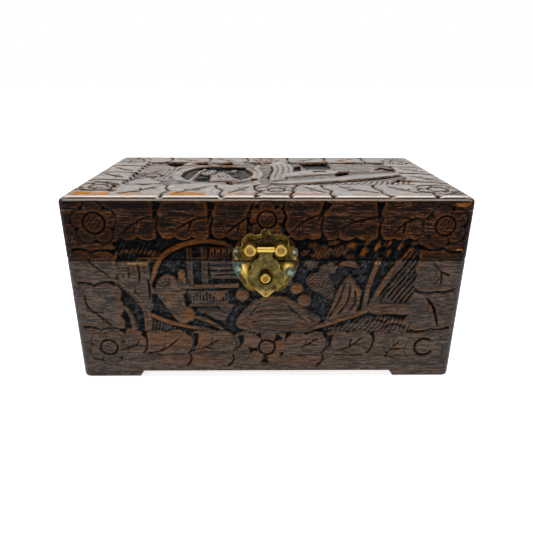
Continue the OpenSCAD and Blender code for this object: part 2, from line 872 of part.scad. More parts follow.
front_board();
back_board();
side_board(-1);  // left_board
side_board(1);  // right_board
floor_panel();
tray_cleat(-1);  // tray_cleat_left
tray_cleat(1);  // tray_cleat_right
lid_top();
lid_front_rail();
lid_back_rail();
lid_side_rail(-1);  // lid_left_rail
lid_side_rail(1);  // lid_right_rail
hinge_leaf(-1, -1);  // hinge_left_body_leaf
hinge_leaf(-1, 1);  // hinge_left_lid_leaf
hinge_pin(-1);  // hinge_left_pin
hinge_screws(-1, -1);  // hinge_left_body_screws
hinge_screws(-1, 1);  // hinge_left_lid_screws
hinge_leaf(1, -1);  // hinge_right_body_leaf
hinge_leaf(1, 1);  // hinge_right_lid_leaf
hinge_pin(1);  // hinge_right_pin
hinge_screws(1, -1);  // hinge_right_body_screws
hinge_screws(1, 1);  // hinge_right_lid_screws
upper_plate();  // latch_upper_plate
lower_plate();  // latch_lower_plate
post(-1);  // latch_left_post
post(1);  // latch_right_post
rod();  // latch_rod
hasp();  // latch_hasp
peg();  // latch_peg
upper_nails();  // latch_upper_nails
lower_nails();  // latch_lower_nails
tray_wall_long(tray_y0);  // tray_front
tray_wall_long(tray_y0 + tray_d - tray_wall);  // tray_back
tray_end(-1);  // tray_left_end
tray_end(1);  // tray_right_end
tray_floor();
long_divider();  // tray_long_divider
cross_divider(-1);  // tray_left_divider
cross_divider(1);  // tray_right_divider
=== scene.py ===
from functools import partial
import bmesh
import bpy
import numpy as np
from mathutils import Matrix, Vector


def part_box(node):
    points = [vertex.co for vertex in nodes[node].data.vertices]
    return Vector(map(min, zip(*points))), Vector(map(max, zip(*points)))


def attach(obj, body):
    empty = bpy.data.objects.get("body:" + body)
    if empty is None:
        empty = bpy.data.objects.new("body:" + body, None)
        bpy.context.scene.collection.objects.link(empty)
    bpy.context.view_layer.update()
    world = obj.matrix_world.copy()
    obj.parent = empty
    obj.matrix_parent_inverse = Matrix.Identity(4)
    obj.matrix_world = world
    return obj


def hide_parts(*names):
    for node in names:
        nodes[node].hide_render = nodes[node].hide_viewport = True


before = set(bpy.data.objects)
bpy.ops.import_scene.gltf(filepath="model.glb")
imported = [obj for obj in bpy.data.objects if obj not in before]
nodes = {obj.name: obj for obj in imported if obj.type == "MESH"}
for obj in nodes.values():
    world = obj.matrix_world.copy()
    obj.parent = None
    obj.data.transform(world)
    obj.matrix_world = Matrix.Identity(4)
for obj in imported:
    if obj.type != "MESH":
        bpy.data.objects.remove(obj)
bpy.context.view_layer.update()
mm = 0.001
print("frame loaded")


def cornersOf(node):
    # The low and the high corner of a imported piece, in millimetres
    return [np.array(corner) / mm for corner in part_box(node)]


# The box's own measures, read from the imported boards
boardLow, boardHigh = cornersOf("front_board")
topLow, topHigh = cornersOf("lid_top")
plateLow, plateHigh = cornersOf("latch_upper_plate")
box = {
    "halfWidth": boardHigh[0],
    "front": boardLow[1],
    "back": cornersOf("back_board")[1][1],
    "wall": boardHigh[1] - boardLow[1],
    "seam": boardHigh[2],  # where the body ends
    "lid": cornersOf("lid_front_rail")[0][2],  # where the lid begins
    "railTop": topLow[2],  # underside of the top board
    "top": topHigh[2],
}


def smoothStep(value):
    # 3 value^2 - 2 value^3, with value held between 0 and 1
    value = np.clip(value, 0, 1)
    return value * value * (3 - 2 * value)


def rounded(points, closed=False, steps=6):
    # Catmull-Rom: each stretch between two points is the cubic whose ends lean along their neighbours
    p = np.array(points, float)
    if closed:
        p = np.vstack([p[-1], p, p[0], p[1]])
    else:
        p = np.vstack([2 * p[0] - p[1], p, 2 * p[-1] - p[-2]])
    t = np.linspace(0, 1, steps, endpoint=False)[:, None]
    parts = []
    for a, b, c, d in zip(p[:-3], p[1:-2], p[2:-1], p[3:]):
        parts.append(0.5 * (2 * b + (c - a) * t + (2 * a - 5 * b + 4 * c - d) * t**2
                            + (3 * b - a - 3 * c + d) * t**3))
    if not closed:
        parts.append(p[-2][None])
    return np.vstack(parts)


def arc(centre, radius, start, end, count=14):
    # Points on a circle: centre + radius (cos turn, sin turn), from start to end in degrees
    turn = np.radians(np.linspace(start, end, count))
    return np.stack([centre[0] + radius * np.cos(turn), centre[1] + radius * np.sin(turn)], -1)


class Relief:
    # A carved face on a grid: columns at a, rows at b, in millimetres. depth is how far the wood is cut away
    # and warm how much of the stain has been rubbed off.

    def __init__(self, a, b):
        self.a, self.b = np.asarray(a, float), np.asarray(b, float)
        self.depth = np.zeros((len(self.b), len(self.a)))
        self.warm = np.zeros(self.depth.shape)

    def window(self, low, high, margin):
        # The part of the grid within margin of a rectangle
        columns = np.nonzero((self.a > low[0] - margin) & (self.a < high[0] + margin))[0]
        rows = np.nonzero((self.b > low[1] - margin) & (self.b < high[1] + margin))[0]
        if not len(columns) or not len(rows):
            return None
        rows, columns = slice(rows[0], rows[-1] + 1), slice(columns[0], columns[-1] + 1)
        a, b = np.meshgrid(self.a[columns], self.b[rows])
        return rows, columns, a, b

    def lineDistance(self, path, a, b):
        # Distance to the nearest stretch of the path, and how far along the path that is, from 0 to 1
        best = np.full(a.shape, 1e9)
        along = np.zeros(a.shape)
        for i, (p, q) in enumerate(zip(path[:-1], path[1:])):
            run = q - p
            t = ((a - p[0]) * run[0] + (b - p[1]) * run[1]) / max(run @ run, 1e-9)
            t = np.clip(t, 0, 1)
            d = np.hypot(a - p[0] - t * run[0], b - p[1] - t * run[1])
            nearer = d < best
            best = np.where(nearer, d, best)
            along = np.where(nearer, (i + t) / (len(path) - 1), along)
        return best, along

    def shapeDistance(self, outline, a, b):
        # Signed: negative inside the closed outline, by counting crossings of a ray along +a
        ring = np.vstack([outline, outline[:1]])
        d, _ = self.lineDistance(ring, a, b)
        inside = np.zeros(a.shape, bool)
        for p, q in zip(ring[:-1], ring[1:]):
            if p[1] == q[1]:
                continue
            crosses = (p[1] > b) != (q[1] > b)
            inside ^= crosses & (a < (q[0] - p[0]) * (b - p[1]) / (q[1] - p[1]) + p[0])
        return np.where(inside, -d, d)

    def raiseShape(self, outline, level=0.2, crown=0.5, edge=0.7):
        # Wood left standing: flat at level inside, rounded over by crown towards its rim, cliff outside
        outline = np.asarray(outline, float)
        found = self.window(outline.min(0), outline.max(0), 3)
        if found is None:
            return
        rows, columns, a, b = found
        d = self.shapeDistance(outline, a, b)
        roll = crown * (1 - smoothStep(-d / 3.0)) ** 2
        standing = level + np.where(d < 0, roll, crown + d / edge)
        self.depth[rows, columns] = np.minimum(self.depth[rows, columns], standing)

    def raiseRound(self, points, *spec):
        # The same inside a smooth curve through the points
        self.raiseShape(rounded(points, True), *spec)

    def sinkShape(self, outline, level, edge=0.8):
        # Wood cut down to level inside an outline, with a slope of twice edge at its rim
        outline = np.asarray(outline, float)
        found = self.window(outline.min(0), outline.max(0), 2)
        if found is None:
            return
        rows, columns, a, b = found
        cut = level * smoothStep(0.5 - self.shapeDistance(outline, a, b) / (2 * edge))
        self.depth[rows, columns] = np.maximum(self.depth[rows, columns], cut)

    def cutLine(self, path, width=1.2, deep=0.8, taper=True):
        # A V-shaped chisel cut that thins out towards its ends
        path = np.asarray(path, float)
        found = self.window(path.min(0), path.max(0), width + 1)
        if found is None:
            return
        rows, columns, a, b = found
        d, along = self.lineDistance(path, a, b)
        share = np.minimum(1, 5 * np.minimum(along, 1 - along) + 0.35) if taper else 1.0
        self.depth[rows, columns] += deep * share * np.clip(1 - d / (width * share), 0, 1)

    def cutCurve(self, points, *spec):
        # The same along a smooth curve through the points
        self.cutLine(rounded(points), *spec)

    def cutRing(self, centre, radius, width=1.2, deep=0.9, start=0, end=360):
        # The same cut round a circle, of one depth all the way
        self.cutLine(arc(centre, radius, start, end, 40), width, deep, taper=False)

    def hatchShape(self, outline, angle, pitch, deep, wave=0.0):
        # Parallel chisel strokes across a shape, pitch apart, at an angle from the a axis
        outline = np.asarray(outline, float)
        found = self.window(outline.min(0), outline.max(0), 1)
        if found is None:
            return
        rows, columns, a, b = found
        inside = smoothStep(-self.shapeDistance(outline, a, b) / 0.8)
        turn = np.radians(angle)
        onward = a * np.cos(turn) + b * np.sin(turn)
        across = -a * np.sin(turn) + b * np.cos(turn) + wave * np.sin(onward / 6)
        stroke = np.abs((across / pitch) % 1 - 0.5) * 2
        self.depth[rows, columns] += deep * inside * smoothStep((stroke - 0.35) / 0.6)


def warmShape(wood, outline, amount, edge=2.0):
    # Where the stain has been rubbed thin, so that orange wood shows through
    outline = np.asarray(outline, float)
    found = wood.window(outline.min(0), outline.max(0), edge)
    if found is None:
        return
    rows, columns, a, b = found
    patch = amount * smoothStep(0.5 - wood.shapeDistance(outline, a, b) / (2 * edge))
    wood.warm[rows, columns] = np.maximum(wood.warm[rows, columns], patch)


def blob(centre, radius, squash=1.0, lobes=0, lift=0.08, turn=0.0):
    # A closed round outline: r = radius (1 + lift cos(lobes angle)), squashed along b, then turned
    angle = np.linspace(0, 2 * np.pi, 48, endpoint=False)
    r = radius * (1 + lift * np.cos(lobes * angle)) if lobes else radius * np.ones(48)
    a, b = r * np.cos(angle), squash * r * np.sin(angle)
    c, s = np.cos(np.radians(turn)), np.sin(np.radians(turn))
    return np.stack([centre[0] + a * c - b * s, centre[1] + a * s + b * c], -1)


def strip(path, width, endWidth=None):
    # A closed outline around a path, from width at its start to endWidth at its end
    path = np.asarray(path, float)
    lean = np.gradient(path, axis=0)
    lean /= np.maximum(np.hypot(lean[:, 0], lean[:, 1]), 1e-9)[:, None]
    side = np.stack([-lean[:, 1], lean[:, 0]], -1)
    half = np.linspace(width, width if endWidth is None else endWidth, len(path))[:, None] / 2
    return np.vstack([path + side * half, (path - side * half)[::-1]])


def scalloped(cusps, bulge=0.2):
    # Lobes between cusps, bulging to the left of the way along: q + run t + normal bulge sin(pi t)^0.8
    p = np.array(cusps, float)
    t = np.linspace(0, 1, 7, endpoint=False)[:, None]
    parts = []
    for q, run in zip(p[:-1], np.diff(p, axis=0)):
        parts.append(q + run * t + np.array([-run[1], run[0]]) * bulge * np.sin(np.pi * t) ** 0.8)
    return np.vstack(parts + [p[-1:]])


def lobedRing(centre, inner, outer, count, turn):
    # r = inner + (outer - inner) |cos(count (angle - turn) / 2)|^0.6
    angle = np.linspace(0, 2 * np.pi, 12 * count + 1)
    r = inner + (outer - inner) * np.abs(np.cos(count * (angle - np.radians(turn)) / 2)) ** 0.6
    return np.stack([centre[0] + r * np.cos(angle), centre[1] + r * np.sin(angle)], -1)


def rosette(wood, centre, hub, reach, turn=90.0, bold=1.0, count=5):
    # A cut follows the rim of the petals, one parts each petal from the next, and one rings the hub
    centre = np.array(centre, float)
    neck = 0.72 * reach
    wood.cutLine(lobedRing(centre, neck, reach, count, turn), 1.3, bold, False)
    for i in range(count):
        angle = np.radians(turn + 360 * (i + 0.5) / count)
        lean = np.array([np.cos(angle), np.sin(angle)])
        wood.cutLine(centre + np.outer((hub + 1, neck), lean), 1.0, 0.7 * bold)
        wood.sinkShape(blob(centre + lean * (neck + 1.6), 1.5), 1.4 * bold, 0.7)
    wood.cutRing(centre, hub, 1.3, 1.7)
    wood.hatchShape(blob(centre, hub - 1.4), 50, 2.6, 0.5)


def midrib(wood, points, veins=(), reach=8.0):
    # A long bent cut, and short ones leaving it: each vein is (share of the way along, side)
    path = rounded(points)
    wood.cutLine(path, 1.2, 1.4)
    for share, side in list(veins) + [(share + 0.2, -side) for share, side in veins if share < 0.7]:
        i = int(share * (len(path) - 2))
        lean = path[i + 1] - path[i]
        lean /= max(np.hypot(*lean), 1e-9)
        out = np.array([0.7 * lean[0] - side * 0.71 * lean[1], 0.7 * lean[1] + side * 0.71 * lean[0]])
        wood.cutLine(np.stack([path[i], path[i] + out * reach]), 1.05, 0.9)


def partLeaves(wood, points, wedges="both", bulge=0.1, deep=1.5, last=(2.4, 5.5)):
    # Two leaves meet in a lobed V cut that opens into small dark wedges at its ends
    path = scalloped(points, bulge)
    wood.cutLine(path, 1.45, deep, wedges == "none")
    ends = {"both": (0, -1), "first": (0,), "last": (-1,), "none": ()}[wedges]
    for i in ends:
        end, inward = path[i], path[2 if i == 0 else -3]
        lean = (inward - end) / max(np.hypot(*(inward - end)), 1e-9)
        side = np.array([-lean[1], lean[0]])
        wide, long = last if i else (2.4, 5.5)
        wedge = [end - side * wide - lean * 2, end + side * wide - lean * 2, end + lean * long]
        wood.sinkShape(wedge, 1.8, 0.7)


frontWindow = [
    (-113, 43), (-97, 39), (-80, 41), (-61, 39), (-43, 41), (-26, 38), (-10, 39.5), (8, 39.5), (16, 38.5),
    (31, 39.5), (46, 38.5), (64, 40.5), (83, 39), (97, 40.5), (111, 42), (112.5, 59), (113.5, 77),
    (114, 90), (114, 103), (116, 113), (111, 119.5), (104, 120), (93, 119.5), (82, 121), (65, 120.5),
    (52, 120), (40, 121), (29, 120), (17, 120.5), (0, 121), (-16, 120.5), (-30, 121), (-41, 121.5),
    (-55, 120.5), (-68, 120.5), (-79, 121.5), (-95, 120.5), (-108, 120.5), (-115, 116), (-113, 101),
    (-118, 85), (-114, 82), (-113, 70), (-114, 56), (-113, 43)
]
frontPartings = [
    ([(-79.5, 121), (-79, 134), (-79.5, 144.5)], "both"),
    ([(-41, 121), (-39.5, 134), (-40.5, 144.5)], "both"),
    ([(-13.5, 123), (-12.5, 136), (-10.5, 145)], "first"),
    ([(41, 120.5), (40, 133), (42.5, 144.5)], "both"), ([(82.5, 120.5), (83.5, 134), (81, 144.5)], "both"),
    ([(13.5, 123), (13, 136), (11.5, 145)], "first"), ([(-97, 39), (-95.5, 31), (-99, 22.5)], "first"),
    ([(-61, 40), (-58.5, 31), (-62.5, 23)], "first"), ([(-26, 38), (-24, 30.5), (-28, 23)], "none"),
    ([(-62.5, 22.5), (-61, 16), (-66, 10)], "none"), ([(-28, 22.5), (-27, 15.5), (-33, 9.5)], "none"),
    ([(46.5, 38.5), (47.5, 30), (43.5, 22)], "first"), ([(44, 21.5), (45, 15.5), (39, 10)], "none"),
    ([(83.5, 40), (84.5, 31), (80.5, 22.5)], "first"), ([(14, 24), (16.5, 39)], "last"),
    ([(-143, 84), (-131, 81.5), (-117, 84)], "last"), ([(143, 78.5), (130, 76.5), (113, 77.5)], "last"),
    ([(-143, 46), (-131, 43.5), (-113, 43)], "last"), ([(143, 45.5), (130, 44), (113, 42.5)], "last"),
    ([(-143, 110.5), (-130, 108.5), (-114, 109)], "last"), ([(143, 109), (130, 111.5), (115, 112)], "last")
]
frontRibs = [
    ([(-81, 137.5), (-96, 131), (-108, 121.5)], [(0.3, -1), (0.55, 1)]),
    ([(-41, 136.5), (-55, 132.5), (-68, 125)], [(0.35, -1), (0.6, 1)]),
    ([(-13.5, 135.5), (-22, 130), (-31, 122.5)], [(0.5, 1)]),
    ([(39, 138), (26, 132), (17.5, 124)], [(0.35, -1), (0.6, -1)]),
    ([(82, 136.5), (64, 132), (48, 124.5)], [(0.4, 1), (0.65, -1)]),
    ([(110, 136), (100, 131), (91.5, 122.5)], [(0.35, -1), (0.6, 1)]),
    ([(-98, 22), (-82, 26), (-68, 37.5)], [(0.3, -1), (0.55, 1)]),
    ([(-63, 23), (-49, 28), (-37, 35.5)], [(0.35, 1), (0.6, -1)]),
    ([(26, 27), (34, 31), (42, 36.5)], [(0.3, 1), (0.6, -1)]),
    ([(54, 24), (66, 28), (77, 38)], [(0.35, -1), (0.6, 1)]),
    ([(95, 17), (99, 25), (107, 34)], [(0.35, 1), (0.6, -1)]),
    ([(-117, 26), (-106, 29), (-101, 34)], [(0.5, 1)]), ([(-134, 104.5), (-128, 97), (-117.5, 89)], []),
    ([(-139.5, 75), (-138, 64), (-128, 54), (-118, 44)], [(0.55, 1)]),
    ([(123, 101), (131, 93), (132.5, 81)], [(0.35, -1), (0.6, 1)]),
    ([(122, 72), (129, 63), (134.5, 46)], [(0.35, -1), (0.42, 1), (0.7, -1), (0.72, 1)]),
    ([(123, 71), (130, 62), (135, 47)], [])
]


def carveFrontBorder(wood):
    # Leaves parted by cuts, with ribs and veins, and flowers at the corners and in the middle
    for points, wedges in frontPartings:
        onLid = points[0][1] > 115 and wedges == "both"
        partLeaves(wood, points, wedges, last=(3.2, 13) if onLid else (2.4, 5.5))
    # sunk ground beside the lower leaves
    for gap in (
            [(-59, 41), (-54, 40), (-55, 31), (-59, 24), (-58, 31)],
            [(-24, 38), (-18, 39), (-19, 31), (-25, 24), (-22, 31)],
            [(48, 38), (53, 39), (51, 30), (46, 23), (49, 30)]):
        wood.sinkShape(gap, 1.8, 1.2)
    for points, veins in frontRibs:
        midrib(wood, points, veins)
    for line in (
            [(-98, 22.5), (-82, 21), (-64, 22.5)], [(-61, 22.5), (-46, 24), (-29, 22.5)],
            [(16, 22), (30, 20.5), (43, 21.5)], [(46, 22), (62, 20.5), (80, 22)],
            [(84, 22), (100, 19), (108, 21)]):
        wood.cutCurve(line, 1.2, 0.9)
    wood.cutLine([(-100, 12.5), (-40, 11.5), (40, 12.2), (100, 12)], 1.0, 0.4)
    rosette(wood, (-125, 131), 7.8, 17, 90)
    rosette(wood, (-0.5, 133.5), 6.7, 14.5, 90, 1.2)
    rosette(wood, (129.5, 129), 7.3, 17, 108)
    rosette(wood, (-126, 28), 6.7, 16, 60, 0.7)
    wood.cutRing((126, 27.7), 7.4, 1.6, 1.9, 62, 325)
    wood.cutLine(lobedRing((126, 28), 11.5, 16, 5, 54), 1.1, 0.6, False)
    wood.sinkShape(blob((0, 27.5), 14.5), 1.8, 1.2)
    for place in ((-10.3, 32.7), (1.2, 38.2), (11.2, 28.4), (6.2, 17.2), (-8.6, 18.2)):
        wood.raiseShape(blob(place, 5.8), 0.1, 0.5, 0.6)
    wood.raiseShape(blob((0, 27.5), 7.6), 0.1, 0.3, 0.5)
    wood.cutRing((0, 27.5), 6.4, 1.4, 1.8)
    wood.hatchShape(blob((0, 27.5), 5), 50, 2.6, 0.5)


def carveFigure(wood, head, headSize, robe, folds, level=0.3):
    # A small robed figure: a plain round head and a cloak with cut folds
    wood.raiseRound(robe, level, 0.7, 0.6)
    wood.raiseShape(blob(head, headSize, 1.15), level - 0.1, 0.9, 0.5)
    for fold in folds:
        wood.cutCurve(fold, 1.1, 0.8)


def carveFrontScene(wood):
    # left third: moon gate, tree and two robed figures
    gate = rounded([(-87, 75), (-85, 91), (-78, 105), (-63, 114), (-47, 117), (-32, 115), (-24, 110)])
    wood.raiseShape([(-113, 101), (-89, 101), (-88, 84), (-89, 61), (-97, 62), (-113, 87)], 0.75, 0.3)
    wood.raiseRound([(-111, 106), (-98, 107), (-84, 104.5), (-80, 109), (-92, 111.5), (-108, 111)], 1.0, 0.5)
    wood.hatchShape([(-113, 103), (-82, 103), (-76, 118), (-113, 118)], 72, 3.1, 0.7, 1.2)
    wood.raiseShape([(-101, 100.6), (-79.5, 100.6), (-77.5, 105.5), (-99, 103.8)], 0.9, 0.4)
    wood.raiseShape(strip(gate, 3.4), 0.2, 0.5)
    wood.cutLine(gate + np.array([1.6, -2.6]), 1.2, 0.9)
    for a, top, low, deep in [
            (-104.5, 97, 88, 1.0), (-97, 100, 84, 1.2), (-92.5, 98, 91, 0.9), (-90.5, 88, 70, 1.2),
            (-109, 92, 88, 0.7), (-101, 82, 76, 0.7)]:
        wood.cutCurve([(a, top), (a + 0.8, (top + low) / 2), (a + 0.2, low)], 1.05, deep)
    trunk = rounded([(-116, 87), (-106, 78), (-97, 68), (-93, 58), (-93, 42)])
    wood.raiseShape(strip(trunk, 4.2, 6.5), 0.2, 0.8)
    wood.cutLine(trunk + np.array([-0.6, -0.6]), 1.1, 0.9)
    wood.raiseShape(strip(rounded([(-111, 64), (-106, 56), (-104, 43)]), 4, 5), 0.5, 0.8)
    # the larger one stoops under a hood
    robe = [(-84.5, 77.5), (-66, 77), (-64, 68), (-61.5, 60), (-61, 50.5), (-68, 49.5), (-74, 57),
            (-79.5, 66)]
    wood.raiseRound(robe, 0.25, 0.7, 0.6)
    for fold in (
            [(-80, 74), (-76, 64), (-70, 56)], [(-74, 68), (-71, 60), (-66, 52)],
            [(-68, 76), (-66.5, 69), (-64, 63)]):
        wood.cutCurve(fold, 1.1, 0.7)
    wood.sinkShape(rounded([(-86, 79), (-85, 88), (-79, 93.5), (-70, 93), (-64.5, 86), (-64.5, 78)], True),
                   2.4, 0.6)
    wood.raiseRound([(-84, 77.5), (-83, 85), (-78, 90.5), (-71, 89.5), (-67, 84), (-66.5, 77)], 0.15, 1.0,
                    0.5)
    for angle in (95, 115, 135, 155, 175):
        lean = np.array([np.cos(np.radians(angle)), np.sin(np.radians(angle))])
        wood.cutLine(np.array([-73.5, 78.5]) + np.outer((3.5, 10.5), lean), 1.1, 1.2)
    carveFigure(wood, (-64.5, 91), 3.4, [(-68, 88), (-61, 88), (-61, 80), (-63, 74), (-68, 78)],
                [[(-65, 86), (-64, 77)]], 0.6)
    wood.raiseShape(blob((-61, 57), 5.2, 1.25, turn=10), 0.2, 1.0)
    # pavilion: posts, beams, window grilles and a railing
    for a in (-58, -47):
        wood.raiseShape(strip([(a, 82), (a, 112)], 4.2), 0.85, 0.3)
        wood.cutLine([(a - 0.4, 82), (a + 0.3, 112)], 0.9, 0.5, False)
    wood.raiseShape([(-43, 103.5), (-26, 103.5), (-27, 112), (-42, 112)], 0.5, 0.3)
    for i, a in enumerate(np.arange(-41.5, -27, 2.3)):
        wood.cutLine([(a, 103), (a + 0.5, 109 + 2 * (i % 2))], 1.1, 1.3)
    wood.raiseShape([(-43, 101), (-24, 101), (-22, 87), (-43, 87)], 0.95, 0.2)
    wood.raiseShape([(-56, 100.6), (-26, 100.6), (-26, 104), (-56, 104)], 1.0, 0.3)
    for b in (98, 93.5, 90):
        wood.cutLine([(-43, b), (-23, b + 0.5)], 1.0, 0.8, False)
    wood.raiseShape([(-65, 81.5), (-22, 83), (-22, 80), (-65, 78.6)], 0.55, 0.3)
    wood.raiseShape([(-63, 76.5), (-30, 77.5), (-30, 66.5), (-58, 66.5)], 0.85, 0.2)
    for i, a in enumerate(np.arange(-61.5, -31, 2.5)):
        wood.cutLine([(a, 76.5 - 1.5 * (i % 3)), (a + 0.3, 68)], 1.0, 1.0)
    for a in np.arange(-59, -26, 2.6):
        wood.raiseShape(strip([(a, 64.8), (a + 1.7, 64.8)], 1.6), 0.6, 0.2)
    wood.raiseShape([(-55, 62), (-26, 64), (-33, 50), (-45, 55)], 0.9, 0.4)
    wood.cutLine([(-40, 64), (-30, 57)], 1.0, 0.7)
    wood.raiseShape(blob((-37, 73), 3.2, 1.2), 0.25, 0.8)
    # ground lines that fall to the middle
    bank = rounded([(-91, 57), (-80, 51.5), (-66, 47), (-48, 43.5), (-33, 39.5)])
    wood.raiseShape(strip(bank, 3.2, 2.0), 0.2, 0.6)
    wood.raiseShape(strip(rounded([(-60, 56), (-46, 51), (-34, 43)]), 2.6, 2.0), 0.3, 0.6)
    wood.raiseShape([(-92, 53), (-66, 44), (-60, 40), (-90, 40)], 1.0, 0.4)
    wood.hatchShape([(-92, 53), (-66, 44), (-60, 40), (-90, 40)], 80, 2.6, 0.6)
    # the rock mound with its contour cuts
    mound = rounded([(-24, 46), (-21, 57), (-13, 66), (-2, 72.5), (10, 73), (22, 68), (32, 60), (42, 53.5),
                     (38, 47), (22, 41), (-8, 40)], True)
    wood.raiseShape(mound, 0.15, 1.1, 0.6)
    wood.hatchShape(mound, 4, 2.1, 0.2, 2.5)
    for lift, left, right in [(15.5, -14, 23), (11, -17, 28), (7, -19, 33), (3, -20, 36), (-1.5, -18, 36),
                              (-6, -12, 30), (-10.5, -4, 22)]:
        layer = [(left, 48 + lift * 0.55), (left * 0.4 + 3, 53.5 + lift), (right * 0.5 + 2, 53 + lift),
                 (right, 46 + lift * 0.5)]
        wood.cutCurve(layer, 1.2, 0.75)
    for path in (
            [(-23, 50), (-16, 47), (-11, 42)], [(-22, 55), (-14, 53), (-8, 50)],
            [(24, 56), (33, 54), (38, 50)]):
        wood.cutCurve(path, 1.2, 0.7)
    # stones around the latch
    for place, size in [((-19, 73.5), 5.4), ((22.5, 79), 5.2), ((28.5, 68.5), 5.6), ((16, 84), 3.4)]:
        wood.raiseShape(blob(place, size, 0.95), 0.2, 1.0)
        wood.hatchShape(blob(place, size * 0.7), 60, 2.3, 0.5)
    # foliage and the right-hand figure in a straw cloak
    for place, size in [((40, 108), 8), ((54, 109), 6), ((46, 95), 6.5), ((33, 99), 5.5), ((36, 88), 5)]:
        wood.raiseShape(blob(place, size, 0.72, 6, 0.12, 15), 0.5, 0.8)
        wood.hatchShape(blob(place, size * 0.85, 0.7, turn=15), 65, 2.4, 0.8)
    wood.raiseRound([(30, 88), (44, 93), (50, 84), (52, 70), (40, 74), (32, 80)], 0.7, 0.5)
    wood.hatchShape([(28, 88), (46, 94), (52, 84), (54, 66), (38, 72)], 42, 2.3, 0.8)
    cloak = [(62.5, 91), (67, 84), (72.5, 77), (71.5, 66), (69, 58), (58, 54.5), (45, 49.5), (50, 63),
             (55, 80)]
    wood.raiseShape(cloak, 0.25, 0.8, 0.6)
    for fold in (
            [(60, 86), (55, 68), (47, 51)], [(63.5, 84), (62, 68), (54, 55)], [(67, 79), (68, 68), (63, 58)]):
        wood.cutCurve(fold, 1.5, 1.3)
    wood.raiseShape(blob((61.5, 103), 4.4, 1.1), 0.9, 0.7)
    wood.raiseShape([(54, 98.5), (68, 96), (66, 100), (57, 101)], 0.3, 0.4)
    # mast, sail and rigging
    wood.raiseShape(strip([(75, 58), (77, 80), (84, 104)], 3.2), 0.35, 0.4)
    wood.raiseShape(strip([(79, 62), (90, 86), (104, 108)], 3.4), 0.3, 0.4)
    for a, b, size, turn in [
            (62, 114, 4.4, 10), (71.5, 109, 4.2, 70), (73, 116, 3.2, 20), (81, 113, 4.6, 60),
            (89, 115.5, 4.0, 50), (90, 108, 3.2, 70), (98, 113.5, 4.2, 60), (106, 109, 4.6, 62),
            (109, 116, 3.4, 20), (34, 114, 4.2, 0), (28, 108, 4.0, 30), (49, 116, 3.6, 10)]:
        wood.raiseShape(blob((a, b), size, 0.62, 5, 0.14, turn), 0.45, 0.8)
    for a in (68, 77, 85.5, 94, 102.5):
        wood.cutLine([(a - 2, 104), (a + 4, 118)], 1.3, 1.0, False)
    sail = [(82, 66), (113, 66), (113, 112), (101, 108), (91, 84)]
    wood.raiseShape(sail, 1.0, 0.3)
    wood.hatchShape(sail, 56, 3.4, 1.0)
    wood.cutLine([(86, 70), (108, 104)], 1.3, 0.8)
    # the boat and its bank
    hull = rounded([(76, 62), (86, 67.5), (100, 66.5), (112, 66), (112, 57), (96, 57), (84, 57)], True)
    wood.raiseShape(hull, 0.15, 0.8)
    wood.cutCurve([(82, 63), (96, 64), (111, 63)], 1.1, 0.6)
    wood.raiseShape(strip(rounded([(24, 40.5), (38, 45), (53, 50.5), (68, 56), (79, 61)]), 3.4, 4.2), 0.2,
                    0.6)
    wood.cutCurve([(26, 38.5), (40, 42.5), (55, 48), (70, 53)], 1.6, 1.1)
    bank = rounded([(45, 43), (58, 49), (72, 53), (88, 55.5), (104, 53), (112, 54), (112, 41), (80, 40.5)],
                   True)
    wood.raiseShape(bank, 0.5, 0.9)
    wood.hatchShape(bank, 62, 3.2, 0.8, 1.5)
    for path in (
            [(52, 45), (66, 50), (74, 50)], [(74, 46), (84, 52), (92, 50), (98, 54)],
            [(90, 44), (100, 48), (110, 45)]):
        wood.cutCurve(path, 1.8, 1.0)


def carveFront(wood):
    # A scene sunk inside a scalloped window, in a border of leaves and flowers
    wood.sinkShape(scalloped(frontWindow), 2.0, 0.7)
    carveFrontBorder(wood)
    carveFrontScene(wood)
    warmFront(wood)


